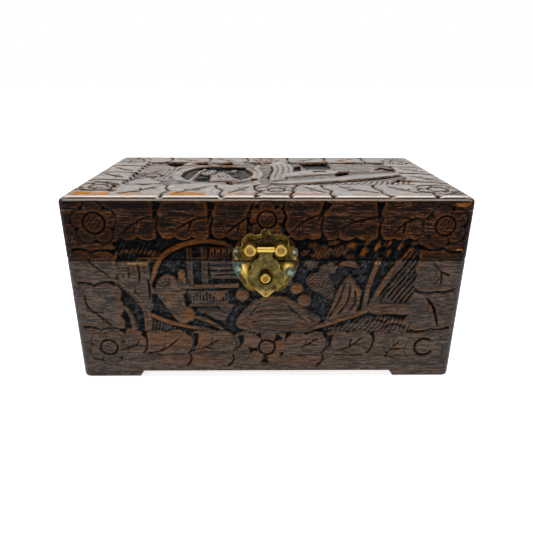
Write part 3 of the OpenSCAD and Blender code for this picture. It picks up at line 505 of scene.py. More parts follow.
def warmFront(wood):
    # Orange wood shows on what stands highest, and is bare where the lacquer has chipped off
    gate = rounded([(-87, 78), (-85, 93), (-78, 106.5), (-63, 115.5), (-47, 118), (-32, 116)])
    warmShape(wood, strip(gate, 2.2), 0.45, 1.2)
    warmShape(wood, [(-98, 100.6), (-80, 100.6), (-78.5, 105), (-96, 103)], 0.8, 1.5)
    warmShape(wood, [(-54, 100.6), (-28, 100.6), (-28, 104), (-54, 104)], 0.4, 1.5)
    for line, width, amount in (
            ([(-90, 57), (-76, 50), (-60, 46.5)], 3, 0.6), ([(-57, 60), (-45, 53), (-34, 44)], 2.6, 0.5),
            ([(-110, 76), (-100, 63), (-95, 54)], 2.4, 0.4), ([(46, 48), (66, 54.5), (79, 61)], 3, 0.6),
            ([(24, 38), (36, 42)], 3, 0.5), ([(58, 86), (53, 70), (49, 57)], 2.6, 0.5),
            ([(61, 90), (61, 74), (58, 60)], 2.4, 0.35), ([(66, 86), (69, 74)], 3, 0.4),
            ([(80, 51), (92, 56.5), (101, 51)], 3, 0.55), ([(56, 50), (70, 55.5), (78, 51)], 3, 0.6),
            ([(40, 93), (46, 101), (50, 106)], 3, 0.6), ([(30, 88), (40, 84), (48, 88)], 3, 0.35),
            ([(80, 74), (96, 104)], 2.0, 0.35), ([(91, 74), (108, 106)], 2.0, 0.3)):
        warmShape(wood, strip(rounded(line), width), amount, 1.4)
    for centre, size, amount in (
            ((-19, 73.5), 5, 0.4), ((22.5, 79), 4, 0.45), ((28.5, 68), 4, 0.3), ((-61, 57), 4.5, 0.6),
            ((-65, 90), 3.4, 0.6), ((-76, 72), 6, 0.4), ((-37, 73), 3, 0.55), ((-18, 50), 7, 0.35),
            ((30, 47), 6, 0.45), ((-84, 110), 6, 0.35), ((-38, 105), 5, 0.5), ((-66, 112), 4, 0.4),
            ((34, 107), 5, 0.65), ((44, 112), 5, 0.5), ((53, 115), 4, 0.6), ((62, 113.5), 4, 0.75),
            ((73, 108), 4, 0.55), ((81, 114), 4, 0.65), ((89, 115), 3.4, 0.7), ((97, 113), 3.4, 0.5),
            ((105, 106), 4, 0.4), ((26, 114), 4, 0.4), ((54, 98), 4, 0.4)):
        warmShape(wood, blob(centre, size), amount, 2.5)
    for place in ((-10.3, 32.7), (11.2, 28.4), (6.2, 17.2), (-8.6, 18.2)):
        warmShape(wood, blob(place, 4), 0.4, 2.0)
    for low, high, amount in ((-95, -64, 0.3), (-58, -30, 0.4), (18, 44, 0.25)):
        warmShape(wood, [(low, 28), (high, 28), (high, 40), (low, 40)], amount, 4.0)
        warmShape(wood, [(low, 12), (high, 12), (high, 20), (low, 20)], amount, 3.0)
    # the lacquer has chipped off along the seam
    for low, high, amount in ((-104, -89, 3.0), (-66, -60, 2.5), (78, 82, 2.5), (83.5, 88, 3.0)):
        warmShape(wood, [(low, 98.9), (high, 98.9), (high, 100.4), (low, 100.4)], amount, 0.4)
    warmShape(wood, blob((142, 110.5), 2.4, 0.3), 3.0, 0.5)
    warmShape(wood, blob((140, 146), 6, 0.5), 1.6, 1.0)


topWindow = [
    (-113, 42), (-97, 41), (-80, 43), (-62, 41.5), (-44, 43.5), (-28, 42), (-12, 42), (2, 40), (16, 42),
    (32, 43), (50, 42), (68, 43), (86, 42), (104, 43), (118, 41), (118, 57), (119, 72), (119, 88),
    (118, 105), (119, 122), (118, 147), (100, 147), (82, 146), (62, 147), (44, 146), (24, 147), (4, 146),
    (-16, 147), (-36, 146), (-56, 147), (-76, 146), (-96, 147), (-113, 147), (-115, 136), (-114, 124),
    (-115, 112), (-114, 100), (-115, 88), (-114, 76), (-115, 64), (-114, 53), (-113, 42)
]
topPartings = [
    [(-77, 4), (-73, 22), (-78, 43)], [(-33, 4), (-33.5, 24), (-40, 43)], [(-8, 6), (-6, 20), (-9, 40)],
    [(17, 5), (20, 18), (24, 41)], [(47.5, 5), (48.5, 22), (43, 43)], [(89.5, 4), (86, 22), (83.5, 42)],
    [(-144, 26), (-132, 22.5), (-116, 22)], [(-120, 26), (-116, 34), (-120, 42)],
    [(116, 19), (121, 15), (123, 5)], [(-146, 60), (-130, 62), (-115, 58)],
    [(-146, 92), (-130, 94), (-115, 90)], [(-146, 124), (-130, 126), (-115, 122)],
    [(147, 48), (134, 54), (119, 56)], [(147, 84.5), (134, 90), (119, 92)],
    [(147, 116), (134, 121), (119, 124)], [(-97, 171), (-95, 158), (-98, 147)],
    [(-58, 171), (-56, 158), (-59, 147)], [(-20, 171), (-18, 158), (-21, 147)],
    [(22, 171), (20, 158), (23, 147)], [(60, 171), (58, 158), (61, 147)], [(98, 171), (96, 158), (99, 147)]
]
topRibs = [
    ([(-110, 12), (-96, 22), (-84, 38)], [(0.4, -1), (0.6, 1)]),
    ([(-70, 12), (-58, 24), (-44, 38)], [(0.4, 1)]), ([(-30, 12), (-22, 24), (-13, 37)], [(0.5, -1)]),
    ([(44, 14), (36, 25), (27, 37)], [(0.4, 1)]), ([(84, 14), (68, 24), (54, 38)], [(0.35, -1), (0.6, 1)]),
    ([(113, 14), (104, 24), (92, 38)], [(0.4, -1)]), ([(-141, 56), (-130, 50), (-118, 46)], [(0.5, 1)]),
    ([(-141, 88), (-130, 78), (-118, 70)], [(0.5, 1)]),
    ([(-141, 120), (-130, 108), (-118, 100)], [(0.5, 1)]), ([(142, 58), (134, 68), (122, 80)], [(0.45, 1)]),
    ([(142, 94), (134, 104), (122, 116)], [(0.45, -1)]), ([(-90, 168), (-78, 158), (-66, 151)], [(0.5, 1)]),
    ([(-52, 168), (-40, 158), (-28, 151)], [(0.5, 1)]), ([(52, 168), (40, 158), (30, 151)], [(0.5, -1)]),
    ([(90, 168), (78, 158), (68, 151)], [(0.5, -1)])
]


def carveTopBorder(wood):
    # The same kinds of leaves and flowers round the lid
    for points in topPartings:
        partLeaves(wood, points)
    for points, veins in topRibs:
        midrib(wood, points, veins)
    rosette(wood, (7, 25), 6.5, 15.5, 90)
    rosette(wood, (130, 27), 7.5, 16.5, 60)
    rosette(wood, (-131, 37), 7.0, 15.5, 90)
    rosette(wood, (0.5, 160), 6.0, 13, 90)
    rosette(wood, (-129, 157), 6.8, 15, 60)
    rosette(wood, (130, 150), 6.4, 15, 60)
    wood.cutRing((139, 18), 6.5, 1.2, 1.0, 180, 350)


def carveTopScene(wood):
    # a round window with a seated figure, at the left
    wood.raiseShape(blob((-45, 89), 37.5, 1.12), 0.15, 0.6)
    wood.sinkShape(blob((-43, 89), 31, 1.2), 2.2, 0.6)
    wood.cutLine(arc((-43, 89), 34.5, 120, 250, 20), 1.0, 0.5)
    carveFigure(wood, (-40, 93), 4.6, [(-47, 88), (-33, 88), (-28, 74), (-22, 62), (-44, 58), (-48, 72)],
                [[(-42, 86), (-40, 72), (-42, 60)], [(-36, 86), (-33, 74), (-34, 62)],
                 [(-45, 80), (-36, 78)]])
    wood.raiseRound([(-58, 94), (-52, 106), (-46, 110), (-47, 92), (-52, 86)], 0.5, 0.5)
    wood.raiseShape(strip([(-64, 60), (-60, 100), (-56, 114)], 3.2), 0.4, 0.5)
    wood.raiseShape(strip([(-31, 98), (-29, 108), (-24, 116)], 3.4), 0.6, 0.5)
    wood.hatchShape(blob((-43, 89), 26, 1.1), 82, 3.6, 0.7, 1.0)
    for a in (-93, -89, -85):
        wood.raiseShape(strip([(a, 60), (a + 3, 128)], 2.6), 0.5, 0.5)
    wood.raiseRound([(-112, 60), (-100, 70), (-90, 62), (-84, 50), (-100, 45), (-112, 46)], 0.3, 0.9)
    wood.raiseRound([(-112, 92), (-98, 100), (-84, 120), (-96, 130), (-112, 122)], 0.4, 0.8)
    wood.hatchShape([(-112, 92), (-98, 100), (-84, 120), (-96, 130), (-112, 122)], 60, 3.4, 0.8)
    wood.raiseShape(blob((-97.5, 83), 9.5, 0.7), 0.2, 0.9)
    wood.raiseRound([(-76, 132), (-60, 141), (-44, 142), (-30, 138), (-20, 140), (-18, 146), (-84, 146)],
                    0.5, 0.7)
    # tree trunk and a tall standing figure in long robes, in the middle
    wood.raiseShape(strip(rounded([(-6, 44), (-9, 66), (-5, 92), (-9, 120), (-4, 146)]), 7, 5), 0.2, 0.9)
    wood.raiseRound([(4, 142), (22, 142), (26, 118), (22, 92), (16, 70), (4, 60), (2, 84), (6, 112)], 0.2,
                    0.9)
    for a in (5, 10, 15, 20):
        wood.cutCurve([(a, 138), (a + 1, 112), (a - 2, 86), (a - 4, 68)], 1.6, 1.0)
    # the boat: hull, deck house with a roof, and a sail
    hull = rounded([(2, 53), (20, 47), (44, 54), (70, 62), (96, 74), (117, 84), (117, 95), (96, 92), (74, 84),
                    (50, 73), (24, 63)], True)
    wood.raiseShape(hull, 0.1, 0.7)
    wood.cutCurve([(4, 57), (30, 64), (56, 73), (84, 85), (114, 94)], 1.8, 1.2)
    wood.cutCurve([(16, 45), (40, 52), (66, 60), (92, 70), (117, 84)], 2.2, 1.6)
    wood.raiseRound([(12, 74), (34, 82), (58, 88), (60, 98), (38, 106), (26, 100), (14, 92)], 0.2, 0.8)
    wood.raiseShape([(36, 99), (62, 94), (66, 104), (52, 110), (38, 110)], 0.3, 0.5)
    sail = [(66, 98), (112, 100), (104, 120), (88, 138), (64, 140), (60, 112)]
    wood.raiseShape(sail, 0.25, 0.6)
    wood.hatchShape(sail, 24, 6.0, 0.7)
    wood.raiseRound([(24, 41), (60, 46), (84, 44), (112, 48), (117, 66), (96, 62), (60, 54)], 0.6, 0.9)
    wood.hatchShape([(24, 41), (112, 44), (117, 66), (96, 62), (60, 54)], 66, 4.2, 0.8, 1.0)
    wood.raiseRound([(-76, 45), (-50, 52), (-24, 46), (-12, 52), (-12, 42), (-76, 42)], 0.4, 0.9)
    # pockets cut right down between the forms
    for pocket in (
            [(-97, 143), (-86, 121), (-82, 130), (-77, 147), (-94, 147)],
            [(-53, 119), (-38, 126), (-20, 124), (-15, 98), (-20, 108), (-34, 112), (-46, 111)],
            [(-59, 74), (-52, 78), (-47, 80), (-49, 66), (-53, 56), (-57, 55)],
            [(25, 105), (31, 106), (33, 132), (27, 126)],
            [(33, 144), (60, 147), (61, 122), (54, 110), (39, 110), (36, 126)],
            [(61, 81), (72, 89), (74, 100), (66, 99), (60, 91)],
            [(98, 105), (106, 111), (118, 106), (118, 112), (108, 125), (102, 114)],
            [(100, 51), (110, 60), (119, 55), (111, 69)], [(-34, 55), (-29, 53), (-26, 44), (-30, 45)],
            [(-13, 69), (-9, 69), (-7, 60), (-11, 60)], [(42, 98), (54, 98), (53, 103), (43, 103)],
            [(-72, 141), (-58, 147), (-55, 137), (-62, 136)],
            [(-48, 138), (-34, 147), (-31, 136), (-43, 135)], [(78, 139), (92, 144), (88, 147), (76, 146)],
            [(-12, 138), (-6, 146), (-4, 134)]):
        wood.sinkShape(pocket, 3.5, 0.6)
    wood.sinkShape(strip(arc((-97.5, 77), 9.5, 20, 160), 3.0), 3.0, 0.6)
    for b in np.arange(45, 152, 10.7):
        wood.cutLine([(-113.4, b), (-115.2, b + 7)], 1.5, 2.2)


def carveTop(wood):
    # The lid's scene, in the same kind of window and border
    wood.sinkShape(scalloped(topWindow, 0.16), 1.25, 0.7)
    carveTopBorder(wood)
    carveTopScene(wood)
    # the finish is rubbed through along the front edge, in stretches that grow fainter to the right
    for low, high, reach, amount in (
            (-144, -113, 7, 3.0), (-110, -80, 5, 2.4), (-73, -44, 6, 2.8), (-32, -3, 5, 2.2),
            (18, 47, 4, 1.6), (62, 84, 4, 0.8), (95, 114, 4, 0.5)):
        warmShape(wood, [(low, 8), (high, 8), (high - 3, 8 + reach), (low + 4, 8 + 1.4 * reach)], amount, 1.0)


def carvePine(wood, foot, size):
    # A leaning trunk with four clouds of needles
    a, b = foot
    wood.raiseShape(strip(rounded([(a, b), (a + 3, b + size * 0.4), (a - 2, b + size * 0.7),
                                   (a + 4, b + size)]), 6, 3), 0.2, 0.8)
    for da, db, r in [(-14, 0.75, 9), (12, 0.85, 10), (-4, 1.05, 9), (18, 0.55, 7)]:
        cloud = blob((a + da, b + db * size), r, 0.5, 7, 0.1)
        wood.raiseShape(cloud, 0.3, 0.9)
        wood.hatchShape(cloud, 80, 2.6, 0.7)


def carvePlainFace(wood, half):
    # The ends and the back: the same leaf and flower border round hills, a pine and water
    inner = half - 36
    lobes = 2 * int(round(inner / 13))
    along = np.linspace(-inner, inner, lobes + 1)
    up = np.linspace(42, 119, 7)
    low, high, side = np.full(lobes + 1, 40.0), np.full(lobes + 1, 120.0), np.full(7, inner)
    window = np.vstack([np.stack([along, low], -1), np.stack([side, up], -1)[1:],
                        np.stack([along[::-1], high], -1)[1:], np.stack([-side, up[::-1]], -1)[1:-1],
                        [(-inner, 40.0)]])
    wood.sinkShape(scalloped(window), 2.0, 0.7)
    count = int(round((inner - 12) / 34))
    width = (inner - 12) / count
    for i in range(count + 1):
        for sign in (-1, 1):
            edge = sign * (13 + i * width)
            partLeaves(wood, [(edge, 121), (edge - 1, 134), (edge + 1, 144.5)])
            partLeaves(wood, [(edge - 1, 22), (edge, 39)])
            partLeaves(wood, [(edge - 4, 9), (edge - 1, 21.5)])
            if i < count:
                near, far = edge + sign * 4, edge + sign * (width - 4)
                veins = [(0.35, sign), (0.6, -sign)]
                midrib(wood, [(far, 137), ((near + far) / 2, 132), (near, 123.5)], veins)
                midrib(wood, [(near, 23.5), ((near + far) / 2, 28), (far, 37.5)], veins)
                wood.cutCurve([(near - 3, 22), ((near + far) / 2, 20.5), (far + 3, 22)], 1.2, 0.9)
    for sign in (-1, 1):
        for b0, b1 in [(44, 80), (81, 112)]:
            partLeaves(wood, [(sign * (half - 8), b0), (sign * (half - 20), b0 - 2), (sign * inner, b0)],
                       "last")
            midrib(wood, [(sign * (half - 9), b1 - 6), (sign * (half - 14), (b0 + b1) / 2),
                          (sign * (inner + 4), b0 + 6)], [(0.4, 1), (0.65, -1)])
        rosette(wood, (sign * (half - 22), 130), 7.2, 16.5)
        rosette(wood, (sign * (half - 22), 27.5), 6.8, 16, 60)
    rosette(wood, (0, 133), 6.4, 14.5)
    rosette(wood, (0, 27.5), 6.4, 15)
    for left, top in [(-inner * 0.85, 92), (-inner * 0.1, 104), (inner * 0.6, 84)]:
        hill = rounded([(left - 20, 62), (left - 8, top - 12), (left + 2, top), (left + 13, top - 14),
                        (left + 24, 62)], True)
        wood.raiseShape(hill, 0.9, 0.6)
        wood.hatchShape(hill, 66, 4.0, 0.7, 1.2)
    bank = rounded([(-inner + 2, 44), (-inner + 2, 60), (-inner * 0.4, 63), (0, 55), (inner * 0.5, 48),
                    (inner * 0.6, 43)], True)
    wood.raiseShape(bank, 0.3, 0.9)
    wood.hatchShape(bank, 15, 4.4, 0.7, 1.5)
    carvePine(wood, (-inner * 0.55, 56), 44)
    for b in (46, 51, 56, 61):
        wave = np.linspace(inner * 0.1 + (61 - b) * 0.8, inner - 4, 24)
        wood.cutLine(np.stack([wave, b + 1.2 * np.sin(wave / 3.2)], -1), 1.4, -0.9, False)
    wood.raiseRound([(inner * 0.35, 64), (inner * 0.45, 60.5), (inner * 0.8, 61), (inner * 0.92, 66),
                     (inner * 0.6, 64.5)], 0.2, 0.6)
    wood.raiseShape([(inner * 0.6, 65), (inner * 0.62, 86), (inner * 0.88, 70)], 0.3, 0.5)


def soften(grid, sigma):
    # Gaussian blur by multiplying in the frequency plane; sigma is in grid steps along b and a
    rows = np.fft.fftfreq(grid.shape[0])[:, None] * sigma[0]
    columns = np.fft.rfftfreq(grid.shape[1])[None] * sigma[1]
    gauss = np.exp(-2 * np.pi**2 * (rows**2 + columns**2))
    return np.fft.irfft2(np.fft.rfft2(grid) * gauss, grid.shape)


def handNoise(shape, sigma, seed):
    # Blurred white noise, brought back to a spread of 1
    noise = soften(np.random.default_rng(seed).normal(size=shape), sigma)
    return noise / noise.std()


# How each face is laid out, in millimetres: a runs to the viewer's right and b runs up, on the top from front
# to back; step is the width of one square of its grid
middle = (box["front"] + box["back"]) / 2
halfDepth = (box["back"] - box["front"]) / 2
faces = {
    "front": {"half": box["halfWidth"], "high": box["top"], "step": 0.6, "carve": carveFront, "seed": 11},
    "back": {"half": box["halfWidth"], "high": box["top"], "step": 1.0, "carve": carvePlainFace, "seed": 12},
    "left": {"half": halfDepth, "high": box["top"], "step": 0.9, "carve": carvePlainFace, "seed": 13},
    "right": {"half": halfDepth, "high": box["top"], "step": 0.9, "carve": carvePlainFace, "seed": 14},
    "top": {"half": box["halfWidth"], "high": 2 * halfDepth, "step": 0.85, "carve": carveTop, "seed": 15},
}
carving = {
    "skin": 0.02,  # the carved face starts this far below the board's own
    "deepest": 3.7,  # no cut goes further
    "softEdge": 0.38,  # rounding by age and lacquer
    "ground": 0.9,  # cuts are ground from this depth, and wholly so 1 mm deeper
    "streak": 0.035,  # planed and brushed grain on what was left standing
    "streakSize": (0.45, 7),  # its height and length
    "chisel": 0.22,  # uneven cuts in the ground
    "chiselSize": (0.9, 1.3),
    "dish": (15, 0.5),  # how near its edges the top falls away, and how far
    "bead": (2.2, 0.5, 0.35),  # the cut behind its front bead: place, half width and depth
    "margin": 1.5,  # the grid reaches this far past the face
    "longEdge": 2.3,  # rounding of the lid's upper edges
    "atCorners": (3.2, 13),  # what is added to it, and how near
    "endEdge": 5.2,
    "footRound": 2.5,
    "cornerRound": 6.5,
    "plainRound": 24.5,  # radius of the uncut wood under the latch
    "hingeRoom": 7.0,  # plain wood above and below the hinge barrels
}
# How stain, painted shade in the hollows, and wear are spread over the carving
stainShadeAndWear = {
    "nearBlur": 0.9,  # each point is compared with the wood this far around it
    "wideBlur": 3.0,
    "cut": (0.5, 1.3, 0.62),  # where stain starts, how much deeper it is full, and how much that counts
    "hollow": (1.3, 0.35),  # painted shade: how much it counts to lie below the near wood and the wide
    "rise": (1.9, 0.35),  # how much hands rub what stands above them
    "corner": (18, 0.3),  # it is darker this near the upright corners, and by this much
}


def facePoint(face, a, b, depth):
    # A point of a face at a depth below it, as arrays of x, y and z in millimetres
    if face == "front":
        return a, box["front"] + depth, b
    if face == "back":
        return -a, box["back"] - depth, b
    if face == "left":
        return -box["halfWidth"] + depth, middle - a, b
    if face == "right":
        return box["halfWidth"] - depth, middle + a, b
    return a, box["front"] + b, box["top"] - depth


def faceCoordinates(face, p):
    # The reverse: a, b and depth of points in millimetres
    if face == "front":
        return p[:, 0], p[:, 2], p[:, 1] - box["front"]
    if face == "back":
        return -p[:, 0], p[:, 2], box["back"] - p[:, 1]
    if face == "left":
        return middle - p[:, 1], p[:, 2], p[:, 0] + box["halfWidth"]
    if face == "right":
        return p[:, 1] - middle, p[:, 2], box["halfWidth"] - p[:, 0]
    return p[:, 0], p[:, 1] - box["front"], box["top"] - p[:, 2]


def ridge(value, centre, width):
    # A bell-shaped rise of height 1: exp(-((value - centre) / width)^2)
    return np.exp(-((value - centre) / width) ** 2)


def quarterRound(edge, r):
    # How far a rounded edge falls away at a distance from it: r - sqrt(r^2 - (r - edge)^2)
    return r - np.sqrt(r**2 - np.clip(r - edge, 0, r) ** 2)


def makeRelief(face):
    # Carves one face's grid, rounds the face's edges, and works out where stain and painted shade lie and
    # hands rub
    spec = faces[face]
    margin = carving["margin"]
    a = np.arange(-spec["half"] - margin, spec["half"] + margin + 0.01, spec["step"])
    b = np.arange(-margin, spec["high"] + margin + 0.01, spec["step"])
    relief = Relief(a, b)
    if spec["carve"] is carvePlainFace:
        carvePlainFace(relief, spec["half"])
    else:
        spec["carve"](relief)
    joint = (box["seam"] + box["lid"]) / 2
    if face != "top":  # lid and body meet in a fine dark joint
        relief.cutLine([(a[0], joint), (a[-1], joint)], 1.0, 0.8, False)
    if face == "back":  # plain wood round the hinge barrels
        for hinge in ("left", "right"):
            low, high = cornersOf(f"hinge_{hinge}_pin")
            left, right = -high[0] - 4, -low[0] + 4
            under, over = low[2] - carving["hingeRoom"], high[2] + carving["hingeRoom"]
            relief.raiseShape([(left, under), (right, under), (right, over), (left, over)], 0.0, 0.1)
    if face == "front":  # the latch's plates lie on wood that was never cut
        centre = ((plateLow[0] + plateHigh[0]) / 2, joint)
        relief.raiseShape(blob(centre, carving["plainRound"] + 0.1), 0.0, 0.05, 0.35)
        plainWood = np.hypot(a[None] - centre[0], b[:, None] - centre[1]) < carving["plainRound"] - 0.1
    step = spec["step"]
    cut = soften(relief.depth, (carving["softEdge"] / step,) * 2)
    ground = smoothStep(cut - carving["ground"])
    fine = handNoise(cut.shape, np.array(carving["streakSize"]) / step, spec["seed"])
    rough = handNoise(cut.shape, np.array(carving["chiselSize"]) / step, spec["seed"] + 50)
    cut = cut + carving["streak"] * (1 + fine) * (1 - ground) + carving["chisel"] * rough * ground
    aside = spec["half"] - np.abs(a)[None]
    added, reach = carving["atCorners"]
    longEdge = carving["longEdge"] + added * smoothStep(1 - aside / reach)
    if face == "top":  # the board falls away a little towards its edges, and a bead follows the front one
        across = np.minimum(b, spec["high"] - b)[:, None]
        edge = np.minimum(aside, across)
        reach, fall = carving["dish"]
        place, width, deep = carving["bead"]
        cut = cut + fall * np.clip(1 - edge / reach, 0, 1) ** 2 + deep * ridge(b[:, None], place, width)
        rounding = quarterRound(across, longEdge) + quarterRound(aside, carving["endEdge"])
    else:
        upper = longEdge if face in ("front", "back") else carving["endEdge"]
        rounding = (quarterRound(box["top"] - b[:, None], upper)
                    + quarterRound(b[:, None], carving["footRound"])
                    + quarterRound(aside, carving["cornerRound"]))
    cut = np.clip(cut, 0, carving["deepest"]) + rounding
    if face == "front":
        cut[plainWood] = 0
    relief.depth = cut + carving["skin"]
    # How far each point lies below or above the wood around it, near and farther off
    bare = cut - rounding
    near, wide = (bare - soften(bare, (stainShadeAndWear[key] / step,) * 2) for key in ("nearBlur", "wideBlur"))
    start, over, share = stainShadeAndWear["cut"]
    # stain fills the cuts, painted shade darkens what lies below the wood around it, and near the upright
    # corners it is darker
    relief.groove = np.clip(share * smoothStep((bare - start) / over)
                            + stainShadeAndWear["hollow"][0] * np.clip(near, 0, 1)
                            + stainShadeAndWear["hollow"][1] * np.clip(wide, 0, 2), 0, 1)
    reach, amount = stainShadeAndWear["corner"]
    relief.groove += amount * smoothStep(1 - aside / reach) * (face != "top")
    relief.wear = np.clip(-stainShadeAndWear["rise"][0] * near - stainShadeAndWear["rise"][1] * wide, 0, 1) + relief.warm
    return relief


reliefs = {face: makeRelief(face) for face in faces}
print("reliefs worked out")


def sample(relief, grid, a, b):
    # Bilinear reading of a grid at points (a, b)
    step = relief.a[1] - relief.a[0]
    u = np.clip((a - relief.a[0]) / step, 0, len(relief.a) - 1.001)
    v = np.clip((b - relief.b[0]) / step, 0, len(relief.b) - 1.001)
    i, j = u.astype(int), v.astype(int)
    s, t = u - i, v - j
    return ((grid[j, i] * (1 - s) + grid[j, i + 1] * s) * (1 - t)
            + (grid[j + 1, i] * (1 - s) + grid[j + 1, i + 1] * s) * t)


def newObject(name, points, polygons):
    # points are in millimetres
    mesh = bpy.data.meshes.new(name)
    mesh.from_pydata([tuple(p) for p in np.asarray(points) * mm], [], polygons)
    mesh.update()
    made = bpy.data.objects.new(name, mesh)
    bpy.context.collection.objects.link(made)
    return made


def gridFaces(rows, columns):
    # Quads between the neighbours of a grid whose points are numbered row by row
    corner = np.arange(rows - 1)[:, None] * columns + np.arange(columns - 1)[None]
    quads = np.stack([corner, corner + 1, corner + columns + 1, corner + columns], -1)
    return quads.reshape(-1, 4)


def heightBlock(name, points, behind):
    # A closed block: a grid of points in front, as rows by columns, and its rim carried straight back to a
    # flat far side, which is a fan round one middle point; behind is that side's axis and place
    rows, columns = points.shape[:2]
    grid = points.reshape(-1, 3)
    index = np.arange(rows * columns).reshape(rows, columns)
    rim = np.concatenate([index[0, :-1], index[:-1, -1], index[-1, :0:-1], index[:0:-1, 0]])
    back = grid[rim].copy()
    axis, place = behind
    back[:, axis] = place
    first = len(grid)
    following = np.roll(np.arange(len(rim)), -1)
    sides = np.stack([rim[following], rim, first + np.arange(len(rim)), first + following], -1)
    centre = np.full(len(rim), first + len(rim))
    fan = np.stack([first + following, first + np.arange(len(rim)), centre], -1)
    polygons = gridFaces(rows, columns).tolist() + sides.tolist() + fan.tolist()
    return facingOut(newObject(name, np.vstack([grid, back, back.mean(0)[None]]), polygons))


def facingOut(piece):
    # Turns the faces of a closed mesh outwards where the sum of p0 . (p1 x p2) over its triangles, six times
    # its volume, is negative
    mesh = piece.data
    mesh.calc_loop_triangles()
    corners = np.empty(len(mesh.loop_triangles) * 3, int)
    mesh.loop_triangles.foreach_get("vertices", corners)
    p = vertexArray(mesh)[corners].reshape(-1, 3, 3)
    if np.einsum("ij,ij->", p[:, 0], np.cross(p[:, 1], p[:, 2])) < 0:
        mesh.flip_normals()
    return piece


def vertexArray(mesh):
    # A mesh's points as rows of x, y and z, in metres
    flat = np.empty(len(mesh.vertices) * 3)
    mesh.vertices.foreach_get("co", flat)
    return flat.reshape(-1, 3)


def faceBlock(face, low, high):
    # The carved block of one face, cropped to a board's box, reaching well behind that board
    relief = reliefs[face]
    a, b, _ = faceCoordinates(face, np.array([low, high]))
    margin = carving["margin"] * 0.8
    columns = (relief.a > min(a) - margin) & (relief.a < max(a) + margin)
    rows = (relief.b > min(b) - margin) & (relief.b < max(b) + margin)
    aa, bb = np.meshgrid(relief.a[columns], relief.b[rows])
    x, y, z = facePoint(face, aa, bb, relief.depth[np.ix_(rows, columns)])
    points = np.stack(np.broadcast_arrays(x, y, z), -1)
    axis = {"front": 1, "back": 1, "left": 0, "right": 0, "top": 2}[face]
    ahead = {"front": 1, "back": -1, "left": 1, "right": -1, "top": -1}[face]
    place = (high[axis] if ahead > 0 else low[axis]) + ahead * 3
    return heightBlock("block", points, (axis, place))


def slab(low, high):
    # A plain block between two corners, in millimetres
    p = [(x, y, z) for z in (low[2], high[2]) for y in (low[1], high[1]) for x in (low[0], high[0])]
    return newObject("slab", p, [(0, 2, 3, 1), (4, 5, 7, 6), (0, 1, 5, 4), (2, 6, 7, 3), (0, 4, 6, 2),
                                 (1, 3, 7, 5)])


def copyOfNode(name, title):
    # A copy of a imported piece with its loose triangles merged
    mesh = nodes[name].data.copy()
    made = bpy.data.objects.new(title, mesh)
    bpy.context.collection.objects.link(made)
    work = bmesh.new()
    work.from_mesh(mesh)
    bmesh.ops.remove_doubles(work, verts=work.verts, dist=1e-7)
    work.to_mesh(mesh)
    work.free()
    for layer in list(mesh.attributes):
        if layer.name not in ("position", ".edge_verts", ".corner_vert", ".corner_edge", "material_index"):
            try:
                mesh.attributes.remove(layer)
            except RuntimeError:
                pass
    mesh.materials.clear()
    return made


def combine(piece, others):
    # Cuts and joins a piece with others, each given as (object, "UNION" or "INTERSECT"), then drops them
    for other, how in others:
        step = piece.modifiers.new("cut", "BOOLEAN")
        step.operation, step.object, step.solver = how, other, "MANIFOLD"
    bakeModifiers(piece)
    for other, _ in others:
        spare = other.data
        bpy.data.objects.remove(other)
        bpy.data.meshes.remove(spare)


def bakeModifiers(piece):
    # Swaps a piece's mesh for the one its modifiers make
    shown = piece.evaluated_get(bpy.context.evaluated_depsgraph_get())
    mesh = bpy.data.meshes.new_from_object(shown)
    piece.modifiers.clear()
    old = piece.data
    piece.data = mesh
    mesh.name = piece.name
    mesh.materials.clear()
    mesh.polygons.foreach_set("material_index", np.zeros(len(mesh.polygons), np.int32))
    bpy.data.meshes.remove(old)


def smoothShade(piece, angle=40):
    # Smooth all over but for edges sharper than an angle in degrees
    piece.data.shade_smooth()
    piece.data.set_sharp_from_angle(angle=np.radians(angle))


def writeAttributes(piece, layers):
    # Under each name, one number for each vertex
    for name, values in layers.items():
        piece.data.attributes.new(name, "FLOAT", "POINT").data.foreach_set("value", values)


def mount(piece, node, body):
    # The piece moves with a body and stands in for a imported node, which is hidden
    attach(piece, body)
    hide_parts(node)


def linear(colour):
    # sRGB hex to linear RGBA
    parts = [int(colour[i:i + 2], 16) / 255 for i in (1, 3, 5)]
    return tuple(c / 12.92 if c <= 0.04045 else ((c + 0.055) / 1.055) ** 2.4 for c in parts) + (1.0,)


def addNode(tree, kind, inputs=None, stops=(), **settings):
    # An input, by name or number, is a value, a hex colour, a node that gives its first output or a pair of a
    # node and an output. stops are a colour ramp's places, each with a hex colour or a grey.
    node = tree.nodes.new("ShaderNode" + kind)
    for key, value in settings.items():
        setattr(node, key, value)
    for key, value in (inputs or {}).items():
        source, out = value if isinstance(value, tuple) and len(value) == 2 else (value, 0)
        if isinstance(source, bpy.types.Node):
            tree.links.new(source.outputs[out], node.inputs[key])
        else:
            node.inputs[key].default_value = linear(value) if isinstance(value, str) else value
    while stops and len(node.color_ramp.elements) < len(stops):
        node.color_ramp.elements.new(0.5)
    for (place, colour), element in zip(stops, node.color_ramp.elements if stops else ()):
        element.position = place
        element.color = linear(colour) if isinstance(colour, str) else (colour, colour, colour, 1)
    return node


def newMaterial(name):
    # An empty material, addNode bound to its tree, and the Object coordinates
    material = bpy.data.materials.new(name)
    material.use_nodes = True
    material.node_tree.nodes.clear()
    add = partial(addNode, material.node_tree)
    return material, add, (add("TexCoord"), "Object")


def grainMarks(add, place, direction, size, detail, roughness, offset=0.0):
    # Noise drawn out along the grain: size is how wide and how long its marks are, in millimetres
    scale = [1000 / size[0]] * 3
    scale["XYZ".index(direction)] = 1000 / size[1]
    mapping = add("Mapping", {"Vector": place, "Scale": scale, "Location": (offset,) * 3})
    return add("TexNoise", {"Vector": mapping, "Scale": 1.0, "Detail": detail, "Roughness": roughness})


